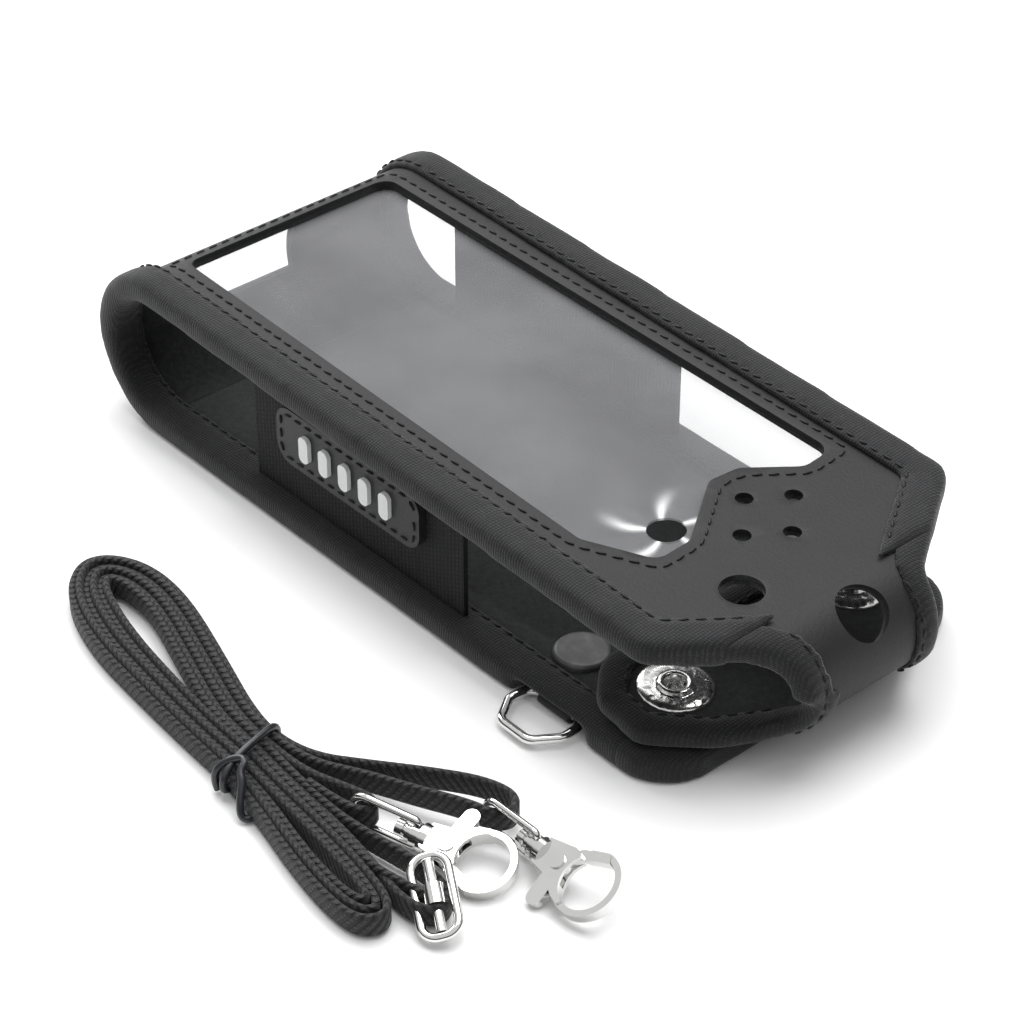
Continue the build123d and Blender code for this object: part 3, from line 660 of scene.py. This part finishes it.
def stitches_on(bm, hits, sink=0.35):
    """Adds one thread loop at each stitch along a row of places."""
    cfg = bpy.context.scene.case_sewing
    travelled, due = 0.0, cfg.pitch / 2
    for (a, up_a), (b, up_b) in zip(hits, hits[1:]):
        run = b - a
        if not 1e-6 < run.length < 0.004:
            travelled, due = 0.0, cfg.pitch / 2
            continue
        while travelled + run.length >= due:
            share = (due - travelled) / run.length
            up = up_a.lerp(up_b, share).normalized()
            along = (run - up * run.dot(up)).normalized()
            side = up.cross(along)
            turn = Matrix((along, side, up)).transposed().to_4x4()
            place = Matrix.Translation(a.lerp(b, share) + up * cfg.thread * sink)
            size = Matrix.Diagonal((cfg.stitch / 2, cfg.thread, cfg.thread, 1))
            bmesh.ops.create_uvsphere(bm, u_segments=6, v_segments=4, radius=1.0,
                                      matrix=place @ turn @ Matrix.Rotation(0.09, 4, "Z") @ size)
            due += cfg.pitch
        travelled += run.length


def sewn(name, rows):
    """One piece that holds every stitch of some rows."""
    bm = bmesh.new()
    for hits in rows:
        stitches_on(bm, hits)
    return finish_piece(object_of(bm, name, sharp=4.0), kept("thread", thread_finish))


def pulled_in(bm, rows, depth, width=0.0009):
    """Presses a seam's row into padding, a little deeper at each stitch."""
    cfg = bpy.context.scene.case_sewing
    places = [place for hits in rows for place, _ in hits]
    tree = KDTree(len(places))
    for i, place in enumerate(places):
        tree.insert(place, i)
    tree.balance()
    for v in bm.verts:
        place, i, away = tree.find(v.co)
        if place is not None and away < width * 3:
            beat = 0.75 + 0.25 * math.sin(i * 0.8 * MM * 2 * math.pi / cfg.pitch)
            v.co -= v.normal * depth * beat * math.exp(-((away / width) ** 2))


def panel_rows(tree, side, inner):
    """The seam of one long edge: over the front, round the end and along the back."""
    y = side * (HALF_WIDTH - inner)
    edge = inset_outline(FRONT_EDGE, inner)
    half = edge[:4] if side < 0 else edge[-1:-5:-1]
    front = [p for p in stepped(half) if -56 < p.x < 74]
    back = [Vector((x, y)) for x in range(-56, 64)]
    rows = [landed(tree, rays_down(front)),
            landed(tree, rays_round(END_CENTRE, lambda a: y, 0, -180)),
            landed(tree, rays_up(back))]
    inside = [landed(tree, rays_down(back, INSIDE_Z)),
              landed(tree, rays_round(END_CENTRE, lambda a: y, -20, -180, inward=False)),
              landed(tree, rays_up(front, INSIDE_Z))]
    return rows, inside


def material_on(nodes, material):
    """Puts a finish on parts that keep their own shape."""
    for node in nodes:
        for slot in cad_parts[node].material_slots:
            slot.material = material


# ---------------------------------------------------------------- strap and tie

def strap_points():
    """The strap's control points, from the slider through every turn to the second clasp."""
    def at(points, z):
        return [(*p[:2], p[2] if len(p) > 2 else z) for p in points]

    def layer_z(layer):
        return HIGH_Z if layer % 2 else LOW_Z

    def neck(strand):
        layer = min(strand, 2 * LAYERS - 1 - strand)
        return [(NECK_X, NECK_LOW_Y + NECK_PITCH * strand, layer_z(layer))]

    def head(layer, backwards):
        share = layer / (LAYERS - 1)
        turn = [(a[0] + (b[0] - a[0]) * share, a[1] + (b[1] - a[1]) * share, layer_z(layer))
                for a, b in zip(HEAD_OUTER, HEAD_INNER)]
        return turn[::-1] if backwards else turn

    def fan(points, first, last):
        count = len(points) - 1
        return [(*p, first + (last - first) * i / count) for i, p in enumerate(points)]

    return [
        *at(START_RUN, HIGH_Z), *neck(6), *head(5, True), *neck(5),
        *fan(OUTER_FAN, HIGH_Z, LOW_Z), *neck(0), *head(0, False), *neck(11),
        *at(LEAD_RUN, LOW_Z), *neck(10), *head(1, True), *neck(1),
        *fan(MIDDLE_FAN, HIGH_Z, LOW_Z), *neck(4), *head(4, False), *neck(7),
        *fan(SLIDER_FAN, LOW_Z, HIGH_Z), *neck(8), *head(3, True), *neck(3),
        *fan(INNER_FAN, HIGH_Z, LOW_Z), *neck(2), *head(2, False), *neck(9),
        *at(TAIL_RUN, LOW_Z),
    ]


def spline_of(data, points):
    """One smooth open spline through the control points, given in millimetres."""
    spline = data.splines.new("NURBS")
    spline.points.add(len(points) - 1)
    for control, p in zip(spline.points, points):
        control.co = (*spot(*p), 1)
    spline.order_u = 3
    spline.use_endpoint_u = True


def route_of(points, resolution):
    """The points that a spline passes through."""
    data = bpy.data.curves.new("route", "CURVE")
    data.dimensions = "3D"
    data.resolution_u = resolution
    spline_of(data, points)
    bare = bpy.data.objects.new("route", data)
    line = [v.co.copy() for v in bpy.data.meshes.new_from_object(bare).vertices]
    bpy.data.objects.remove(bare)
    return line


def braid_along(line, width, thickness, pitch):
    """A flat braid on its edge, swept along a line, with its own map of the braid."""
    bm = bmesh.new()
    layer = bm.loops.layers.uv.new("Braid")
    straight = width / 2 - thickness / 2
    section = []
    for side in (1, -1):
        for i in range(5):
            angle = math.pi * i / 4
            section.append((side * math.cos(angle) * thickness / 2,
                            side * (straight + math.sin(angle) * thickness / 2)))
    rings, runs, walked = [], [], 0.0
    for i, here in enumerate(line):
        ahead = line[min(i + 1, len(line) - 1)] - line[max(i - 1, 0)]
        side = Vector((ahead.y, -ahead.x, 0)).normalized()
        walked += (here - line[i - 1]).length if i else 0.0
        runs.append(walked / pitch)
        rings.append([bm.verts.new(here + side * a + Vector((0, 0, b))) for a, b in section])
    top = width / 2
    around = [(top - b + abs(a)) / pitch for a, b in section]
    for i in range(len(rings) - 1):
        for j in range(len(section)):
            k = (j + 1) % len(section)
            face = bm.faces.new((rings[i][j], rings[i + 1][j], rings[i + 1][k], rings[i][k]))
            for loop, (run, turn) in zip(face.loops, ((i, j), (i + 1, j), (i + 1, k), (i, k))):
                loop[layer].uv = (runs[run], around[turn])
    for ring in (rings[0], rings[-1]):
        bm.faces.new(ring)
    bmesh.ops.recalc_face_normals(bm, faces=bm.faces)
    return bm


class RADIOCASE_OT_strap(bpy.types.Operator):
    """Make the neck strap, folded into its hank"""

    bl_idname = "radiocase.strap"
    bl_label = "Neck strap"

    def execute(self, context):
        cfg = context.scene.case_strap
        line = route_of(strap_points(), 10)
        bm = braid_along(line, cfg.width, cfg.thickness, cfg.braid_pitch)
        strap = object_of(bm, "neck_strap", sharp=1.2)
        finish_piece(strap, kept("braid", braid_finish), "strap_hank")
        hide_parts("strap_lead", "strap_tail")
        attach(strap, "case")
        fittings = [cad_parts[n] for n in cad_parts
                    if n.startswith(("slider", "first_clasp", "second_clasp"))]
        fittings.append(bpy.data.objects["hank_wire_tie"])
        tuple(spot(*START_RUN[0], HIGH_Z))
        return {"FINISHED"}


class RADIOCASE_OT_tie(bpy.types.Operator):
    """Make the coated wire tie round the hank"""

    bl_idname = "radiocase.tie"
    bl_label = "Wire tie"

    def execute(self, context):
        cfg = context.scene.case_strap
        data = bpy.data.curves.new("hank_wire_tie", "CURVE")
        data.dimensions = "3D"
        data.resolution_u = 8
        data.bevel_depth = cfg.tie_radius
        data.bevel_resolution = 3
        data.use_fill_caps = True
        for points in (TIE_BAND, TIE_TWIST):
            spline_of(data, points)
        curve = bpy.data.objects.new("tie_route", data)
        bm = bmesh.new()
        bm.from_mesh(bpy.data.meshes.new_from_object(curve))
        bpy.data.objects.remove(curve)
        bmesh.ops.remove_doubles(bm, verts=bm.verts, dist=1e-6)
        bmesh.ops.recalc_face_normals(bm, faces=bm.faces)
        tie = object_of(bm, "hank_wire_tie", sharp=1.2)
        finish_piece(tie, kept("tie_coating", tie_finish), "hank_tie")
        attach(tie, "case")
        return {"FINISHED"}


# ---------------------------------------------------------------- panels

def gridded(bm, step):
    """Cuts a mesh into a grid in plan, so that it can bend."""
    points = [v.co for v in bm.verts]
    for axis in (0, 1):
        low = min(p[axis] for p in points)
        high = max(p[axis] for p in points)
        normal = Vector((1, 0, 0)) if axis == 0 else Vector((0, 1, 0))
        for i in range(1, max(2, round((high - low) / step))):
            place = normal * (low + i * step)
            everything = list(bm.verts) + list(bm.edges) + list(bm.faces)
            bmesh.ops.bisect_plane(bm, geom=everything, dist=1e-7, plane_co=place,
                                   plane_no=normal)
    return bm


def softened_edges(bm, width):
    """Rounds a panel's cut edges, but not where the front runs on into the flap."""
    joint = spot(74, 0).x
    edges = [e for e in bm.edges if len(e.link_faces) == 2 and e.calc_face_angle(0.0) > 0.9
             and min(v.co.x for v in e.verts) < joint]
    bmesh.ops.bevel(bm, geom=edges, offset=width, offset_type="OFFSET", segments=2, profile=0.5,
                    affect="EDGES", material=-1, clamp_overlap=True)


def crossing_crease(piece):
    """Bakes a piece of the front's placement into its mesh."""
    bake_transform(piece)


def shell_piece(node, name, material, step=0.004, bevel=0.00022):
    """A layer of the case: its panel, cut into a grid and with soft edges."""
    bm = node_copy(node)
    if node.startswith("front"):
        for v in bm.verts:
            if abs(v.co.x - FLAP_JOINT.x) < 0.0002:
                v.co += Vector((1, 0, BEND_DROP)) * bpy.context.scene.case_panels.run_on
    bmesh.ops.dissolve_limit(bm, angle_limit=0.003, verts=bm.verts, edges=bm.edges)
    if step:
        gridded(bm, step)
    if bevel:
        softened_edges(bm, bevel)
    return finish_piece(object_of(bm, name, sharp=0.6), material, node)


class RADIOCASE_OT_leather(bpy.types.Operator):
    """Make the leather panels and the tabs that hold the D-rings"""

    bl_idname = "radiocase.leather"
    bl_label = "Leather panels"

    def execute(self, context):
        leather = kept("grained_leather", leather_finish)
        for part, name in (("back_leather", "back_skin"), ("end_leather", "end_skin")):
            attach(shell_piece(part, name, leather, 0), "case")
        crossing_crease(shell_piece("front_leather", "front_skin", leather, 0.003))
        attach(shell_piece("flap_leather", "flap_skin", leather, 0, 0), "flap")
        for side in ("near", "far"):
            tab = shell_piece(f"{side}_ring_tab", f"{side}_tab", leather, 0, 0.00015)
            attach(tab, "case")
        return {"FINISHED"}


class RADIOCASE_OT_lining(bpy.types.Operator):
    """Make the felt lining"""

    bl_idname = "radiocase.lining"
    bl_label = "Felt lining"

    def execute(self, context):
        felt = kept("pile_felt", felt_finish)
        for part, name in (("back_lining", "back_felt"), ("end_lining", "end_felt")):
            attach(shell_piece(part, name, felt, 0, 0.00015), "case")
        crossing_crease(shell_piece("front_lining", "front_felt", felt, 0.003, 0.00015))
        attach(shell_piece("flap_lining", "flap_felt", felt, 0, 0), "flap")
        return {"FINISHED"}


# ---------------------------------------------------------------- padded tape

def run_on(bm, node):
    """Lengthens a binding's cut ends, so that each runs on inside the next one."""
    reach = bpy.context.scene.case_tape.run_on
    for v in bm.verts:
        side = 1 if v.co.y > 0 else -1
        if abs(v.co.x - FLAP_JOINT.x) < 0.0004 and v.co.z > FLAP_JOINT.z:
            way = -1 if node == "flap_binding" else 1
            taper = FAR_TAPER if side > 0 else NEAR_TAPER
            v.co += Vector((1, -side * taper, BEND_DROP)) * way * reach
        if abs(v.co.x - MOUTH_JOINT.x) < 0.0002 and v.co.z < MOUTH_JOINT.z:
            if node == "mouth_binding" or abs(v.co.y) > MOUTH_JOINT.y:
                v.co.x += reach * (-1 if node == "mouth_binding" else 1)
    return bm


def padded_tape(node, name):
    """A binding as soft padded tape: remeshed, rounded and puffed."""
    cfg = bpy.context.scene.case_tape
    piece = object_of(run_on(node_copy(node), node), name)
    remesh = piece.modifiers.new("padding", "REMESH")
    remesh.mode = "VOXEL"
    remesh.voxel_size = cfg.voxel
    applied(piece)
    bm = bmesh.new()
    bm.from_mesh(piece.data)
    for _ in range(cfg.rounding):
        bmesh.ops.smooth_vert(bm, verts=bm.verts, factor=0.5, use_axis_x=True, use_axis_y=True,
                              use_axis_z=True)
    bm.normal_update()
    uneven = 0.16 * MM
    for v in bm.verts:
        soft = noise.noise(v.co * 90) * 0.6 + noise.noise(v.co * 260) * 0.35
        v.co += v.normal * (cfg.puff + soft * uneven)
    bm.normal_update()
    bm.to_mesh(piece.data)
    bm.free()
    return piece


def seam_into(piece, rows, depth):
    """Sinks seams into a padded piece."""
    bm = bmesh.new()
    bm.from_mesh(piece.data)
    bm.normal_update()
    pulled_in(bm, rows, depth)
    bm.normal_update()
    for face in bm.faces:
        face.smooth = True
    bm.to_mesh(piece.data)
    bm.free()


class RADIOCASE_OT_tape(bpy.types.Operator):
    """Make the padded tape round the panels and sew it down"""

    bl_idname = "radiocase.tape"
    bl_label = "Padded tape"

    def execute(self, context):
        cfg = context.scene.case_tape
        cloth = kept("tape_cloth", tape_finish)
        front_rows, back_rows = [], []
        for side, sign in (("near", -1), ("far", 1)):
            tape = padded_tape(f"{side}_binding", f"{side}_tape")
            outside, inside = panel_rows(tree_of(tape), sign, SEAM_INSET)
            seam_into(tape, outside + inside, cfg.groove)
            tree = tree_of(tape)
            outside, inside = panel_rows(tree, sign, SEAM_INSET)
            front_rows += [outside[0], inside[2]]
            back_rows += outside[1:] + inside[:2]
            finish_piece(tape, cloth, f"{side}_binding")
            crossing_crease(tape)
        mouth = padded_tape("mouth_binding", "mouth_tape")
        edge = stepped(inset_outline(BACK_EDGE, SEAM_INSET)[1:3], rounds=0)
        rays = (rays_down(edge, INSIDE_Z), rays_up(edge))
        seam_into(mouth, [landed(tree_of(mouth), r) for r in rays], cfg.groove)
        back_rows += [landed(tree_of(mouth), r) for r in rays]
        finish_piece(mouth, cloth, "mouth_binding")
        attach(mouth, "case")
        crossing_crease(sewn("front_seams", front_rows))
        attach(sewn("back_seams", back_rows), "case")
        return {"FINISHED"}


def flap_rows(tree):
    """The seams round the flap: over its bend and round its return, on both faces."""
    def near_y(angle):
        x = BEND_CENTRE.x / MM + PATTERN_X + BEND_RADIUS * math.sin(angle)
        return corner_y + (x - corner_x) * taper + FLAP_NEAR_SEAM_INSET

    def far_y(angle):
        return FRONT_EDGE[5][1] - FLAP_SEAM_INSET

    corner_x, corner_y = FRONT_EDGE[2]
    end_x, end_y = FRONT_EDGE[3]
    taper = (end_y - corner_y) / (end_x - corner_x)
    ring = inset_outline(RETURN_EDGE, -FLAP_SEAM_INSET)[1:-1]
    ring = [p for p in stepped(ring) if p.x < 76]
    return [landed(tree, rays_round(BEND_CENTRE, near_y, 2, 150)),
            landed(tree, rays_round(BEND_CENTRE, far_y, 2, 150)),
            landed(tree, rays_down(ring, INSIDE_FLAP_Z)),
            landed(tree, rays_up(ring))]


class RADIOCASE_OT_flap(bpy.types.Operator):
    """Make the flap's own tape and seams"""

    bl_idname = "radiocase.flap"
    bl_label = "Flap tape"

    def execute(self, context):
        cfg = context.scene.case_tape
        tape = padded_tape("flap_binding", "flap_tape")
        seam_into(tape, flap_rows(tree_of(tape)), cfg.groove * 0.8)
        finish_piece(tape, kept("tape_cloth", tape_finish), "flap_binding")
        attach(tape, "flap")
        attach(sewn("flap_seams", flap_rows(tree_of(tape))), "flap")
        return {"FINISHED"}


class RADIOCASE_OT_window_seam(bpy.types.Operator):
    """Sew round the window and round the badge"""

    bl_idname = "radiocase.window_seam"
    bl_label = "Window seam"

    def execute(self, context):
        skin = bpy.data.objects["front_skin"]
        outline = stepped(inset_outline(WINDOW, -WINDOW_SEAM_INSET), closed=True, rounds=6)
        window = sewn("window_seam", [landed(tree_of(skin), rays_down(outline))])
        crossing_crease(window)
        low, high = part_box("badge_patch")
        centre = (low + high) / 2
        seam_inset = 1.25 * MM
        half = (high - low) / 2 - Vector((seam_inset, 0, seam_inset))
        corner = 2.2 * MM
        places = []
        for i, (sx, sz) in enumerate(((1, 1), (-1, 1), (-1, -1), (1, -1))):
            for j in range(7):
                turn = math.pi / 2 * (i + j / 6)
                x = centre.x + sx * (half.x - corner) + corner * math.cos(turn)
                z = centre.z + sz * (half.z - corner) + corner * math.sin(turn)
                places.append(Vector((x, z)) / MM)
        loop = stepped(places, closed=True, rounds=0)
        rays = [(Vector((p.x, -60, p.y)) * MM, Vector((0, 1, 0))) for p in loop]
        badge = sewn("badge_seam", [landed(tree_of(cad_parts["badge_patch"]), rays)])
        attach(badge, "case")
        return {"FINISHED"}


# ---------------------------------------------------------------- mesh sides and window film

class RADIOCASE_OT_mesh_sides(bpy.types.Operator):
    """Make the elastic mesh panels in the sides"""

    bl_idname = "radiocase.mesh_sides"
    bl_label = "Mesh sides"

    def execute(self, context):
        cloth = kept("elastic_mesh", mesh_finish)
        for side, sign in (("near", -1), ("far", 1)):
            node = f"{side}_mesh"
            low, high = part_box(node)
            bm = gridded(flat_copy(node), 0.0018)
            bmesh.ops.triangulate(bm, faces=[f for f in bm.faces if len(f.verts) > 4])
            long = high.x - low.x
            for v in bm.verts:
                along = (v.co.x - low.x) / long
                edge = min(1.0, 4 * min(along, 1 - along) + 0.15)
                v.co.y += sign * edge * 0.0002 * noise.noise(v.co * 160)
            piece = object_of(bm, f"{side}_elastic", sharp=0.9)
            finish_piece(piece, cloth, node)
            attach(piece, "case")
        return {"FINISHED"}


def edge_distance(place):
    """How far a plan place is inside the window's edge, in metres."""
    best = 1.0
    for a, b in zip(WINDOW, WINDOW[1:] + WINDOW[:1]):
        a, b = spot(*a), spot(*b)
        near, share = intersect_point_line(place, a, b)
        near = a if share < 0 else b if share > 1 else near
        best = min(best, (place - near).length)
    return best


class RADIOCASE_OT_film(bpy.types.Operator):
    """Make the clear film in the window, rippled round its hole"""

    bl_idname = "radiocase.film"
    bl_label = "Window film"

    def execute(self, context):
        cfg = context.scene.case_panels
        fold_reach, fold_turns, fold_twist = 0.011, 5, 188
        hole_rim, rim_fade, edge_margin, edge_fade = 0.0033, 0.003, 0.0004, 0.005
        bm = gridded(flat_copy("window_film"), 0.0013)
        for v in bm.verts:
            flat = Vector((v.co.x, v.co.y, 0))
            loose = min(1.0, max(0.0, (edge_distance(flat) - edge_margin) / edge_fade))
            from_hole = flat - FILM_HOLE
            away = from_hole.length
            angle = math.atan2(from_hole.y, from_hole.x)
            folds = math.sin(angle * fold_turns + away * fold_twist)
            folds *= math.exp(-((away / fold_reach) ** 2))
            folds *= min(1.0, max(0.0, (away - hole_rim) / rim_fade))
            slow = noise.noise(flat * 42) * 0.8 + noise.noise(flat * 110) * 0.3
            if spot(-55, 0).x < v.co.x:
                v.co.z -= loose * cfg.ripple * (1 + folds * 1.3 + slow * 0.9)
        bm.normal_update()
        film = object_of(bm, "clear_film", sharp=0.9)
        finish_piece(film, kept("clear_film", film_finish), "window_film")
        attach(film, "case")
        return {"FINISHED"}


# ---------------------------------------------------------------- metal and badge

def turned(profile, name, segments=48):
    """A ring turned from a closed profile of radius and height."""
    bm = bmesh.new()
    verts = [bm.verts.new((r * MM, 0, z * MM)) for r, z in profile]
    edges = [bm.edges.new((a, b)) for a, b in zip(verts, verts[1:] + verts[:1])]
    bmesh.ops.spin(bm, geom=verts + edges, cent=(0, 0, 0), axis=(0, 0, 1),
                   angle=2 * math.pi, steps=segments, use_merge=True)
    bmesh.ops.remove_doubles(bm, verts=bm.verts, dist=1e-6)
    bmesh.ops.recalc_face_normals(bm, faces=bm.faces)
    return object_of(bm, name, sharp=0.9)


class RADIOCASE_OT_fittings(bpy.types.Operator):
    """Finish the metal parts, the stud caps and the badge"""

    bl_idname = "radiocase.fittings"
    bl_label = "Fittings"

    def execute(self, context):
        nickel = kept("polished_nickel", nickel_finish)
        bright = [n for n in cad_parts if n.startswith(("slider", "first_clasp",
                                                             "second_clasp"))]
        bright += [f"{side}_{part}" for side in ("near", "far")
                   for part in ("d_ring", "back_stud", "snap_socket")]
        material_on(bright, nickel)
        material_on(["near_stud_cap", "far_stud_cap"], kept("black_enamel", cap_finish))
        material_on(["badge_patch"], kept("badge_rubber", badge_finish))
        material_on(["badge_bars"], kept("badge_white", bars_finish))
        pressed = kept("pressed_nickel", pressed_nickel_finish)
        tilt = Matrix.Rotation(SNAP_TILT, 4, "Y")
        profile = [(1.7, -1.75), (1.72, 0.85), (1.95, 1.15), (2.4, 1.25), (2.85, 1.1),
                   (3.05, 0.75), (3.4, 0.6), (4.3, 0.72), (5.3, 0.62), (5.9, 0.42),
                   (SNAP_RADIUS, 0.12), (SNAP_RADIUS, 0.0), (2.1, 0.0), (2.1, -1.75)]
        for side in ("near", "far"):
            low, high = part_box(f"{side}_snap_flange")
            ring = turned(profile, f"{side}_snap_ring")
            up = tilt @ Vector((0, 0, 1))
            foot = (low + high) / 2
            foot.z = high.z
            drop = SNAP_RADIUS * math.sin(SNAP_TILT)  # from the raised rim to the middle
            foot -= up * (0.5 * MM) + Vector((0, 0, drop)) * MM
            ring.data.transform(Matrix.Translation(foot) @ tilt)
            finish_piece(ring, pressed, f"{side}_snap_flange")
            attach(ring, "flap")
        return {"FINISHED"}


# ---------------------------------------------------------------- stage

def soft_light(name, place, target, power, width, height):
    """A large soft light that looks at a place."""
    data = bpy.data.lights.new(name, "AREA")
    data.shape = "RECTANGLE"
    data.size = width
    data.size_y = height
    data.energy = power
    lamp = bpy.data.objects.new(name, data)
    lamp.location = place
    lamp.rotation_euler = (Vector(target) - Vector(place)).to_track_quat("-Z", "Y").to_euler()
    bpy.context.scene.collection.objects.link(lamp)


class RADIOCASE_OT_stage(bpy.types.Operator):
    """Set up the camera, the floor and the lights"""

    bl_idname = "radiocase.stage"
    bl_label = "Stage"

    def execute(self, context):
        cfg = context.scene.case_stage
        scene = context.scene
        data = bpy.data.cameras.new("camera")
        data.lens = cfg.lens
        data.sensor_width = 36.0
        data.clip_start = 0.01
        camera = bpy.data.objects.new("camera", data)
        right = Vector((0.65854, 0.75255, 0.0))
        back = Vector((0.60883, -0.53277, 0.58779))
        turn = Matrix((right, back.cross(right), back)).transposed().to_4x4()
        camera.matrix_world = Matrix.Translation(spot(313.87, -274.43, 300.67)) @ turn
        scene.collection.objects.link(camera)
        scene.camera = camera
        bm = bmesh.new()
        bmesh.ops.create_grid(bm, x_segments=2, y_segments=2, size=3.0)
        floor = object_of(bm, "floor")
        paper = Finish("paper")
        paper.surface(Base_Color=rgba(cfg.floor), Roughness=0.9)
        paper.surface(Specular_IOR_Level=0.1)
        floor.data.materials.append(paper.material)
        soft_light("overhead", (-0.15, 0.25, 0.95), (0, 0, 0), cfg.key, 0.9, 0.9)
        soft_light("far_left", (-0.9, 0.1, 0.5), (0, 0, 0), cfg.side, 0.7, 0.5)
        world = bpy.data.worlds.new("studio")
        scene.world = world
        world.use_nodes = True
        nodes, links = world.node_tree.nodes, world.node_tree.links
        where = nodes.new("ShaderNodeTexCoord")
        split = nodes.new("ShaderNodeSeparateXYZ")
        links.new(where.outputs["Generated"], split.inputs[0])
        walls = nodes.new("ShaderNodeValToRGB")
        ramp = walls.color_ramp
        ramp.interpolation = "EASE"
        ramp.elements[0].position = 0.0
        ramp.elements[0].color = (*cfg.walls, 1)
        ramp.elements[1].position = 0.62
        ramp.elements[1].color = (1, 1, 1, 1)
        dark = ramp.elements.new(0.3)
        dark.color = (*cfg.walls, 1)
        links.new(split.outputs["Z"], walls.inputs[0])
        links.new(walls.outputs[0], nodes["Background"].inputs["Color"])
        nodes["Background"].inputs["Strength"].default_value = 0.75
        scene.view_settings.view_transform = "Standard"
        return {"FINISHED"}


class RADIOCASE_PT_sidebar(bpy.types.Panel):
    """Lists the case's pieces"""

    bl_label = "Radio case"
    bl_idname = "RADIOCASE_PT_sidebar"
    bl_space_type = "VIEW_3D"
    bl_region_type = "UI"
    bl_category = "Radio case"

    def draw(self, context):
        for operator in OPERATORS:
            self.layout.operator(operator.bl_idname)
        for key, group in SETTINGS.items():
            box = self.layout.box()
            box.label(text=group.__doc__)
            for name in group.__annotations__:
                box.prop(getattr(context.scene, key), name)


OPERATORS = [RADIOCASE_OT_stage, RADIOCASE_OT_tie, RADIOCASE_OT_strap, RADIOCASE_OT_leather,
             RADIOCASE_OT_lining, RADIOCASE_OT_tape, RADIOCASE_OT_flap,
             RADIOCASE_OT_window_seam, RADIOCASE_OT_mesh_sides, RADIOCASE_OT_film,
             RADIOCASE_OT_fittings]


def register():
    """Adds the settings, the operators and the panel."""
    for group in SETTINGS.values():
        bpy.utils.register_class(group)
    for key, group in SETTINGS.items():
        setattr(bpy.types.Scene, key, bpy.props.PointerProperty(type=group))
    for cls in (*OPERATORS, RADIOCASE_PT_sidebar):
        bpy.utils.register_class(cls)


def unregister():
    """Takes them away again."""
    for cls in (RADIOCASE_PT_sidebar, *reversed(OPERATORS)):
        bpy.utils.unregister_class(cls)
    for key in SETTINGS:
        delattr(bpy.types.Scene, key)
    for group in SETTINGS.values():
        bpy.utils.unregister_class(group)


def main():
    """Builds every piece in order."""
    register()
    bpy.ops.radiocase.stage()
    bpy.ops.radiocase.tie()
    bpy.ops.radiocase.strap()
    bpy.ops.radiocase.leather()
    bpy.ops.radiocase.lining()
    bpy.ops.radiocase.tape()
    bpy.ops.radiocase.flap()
    bpy.ops.radiocase.window_seam()
    bpy.ops.radiocase.mesh_sides()
    bpy.ops.radiocase.film()
    bpy.ops.radiocase.fittings()


if __name__ == "__main__":
    main()
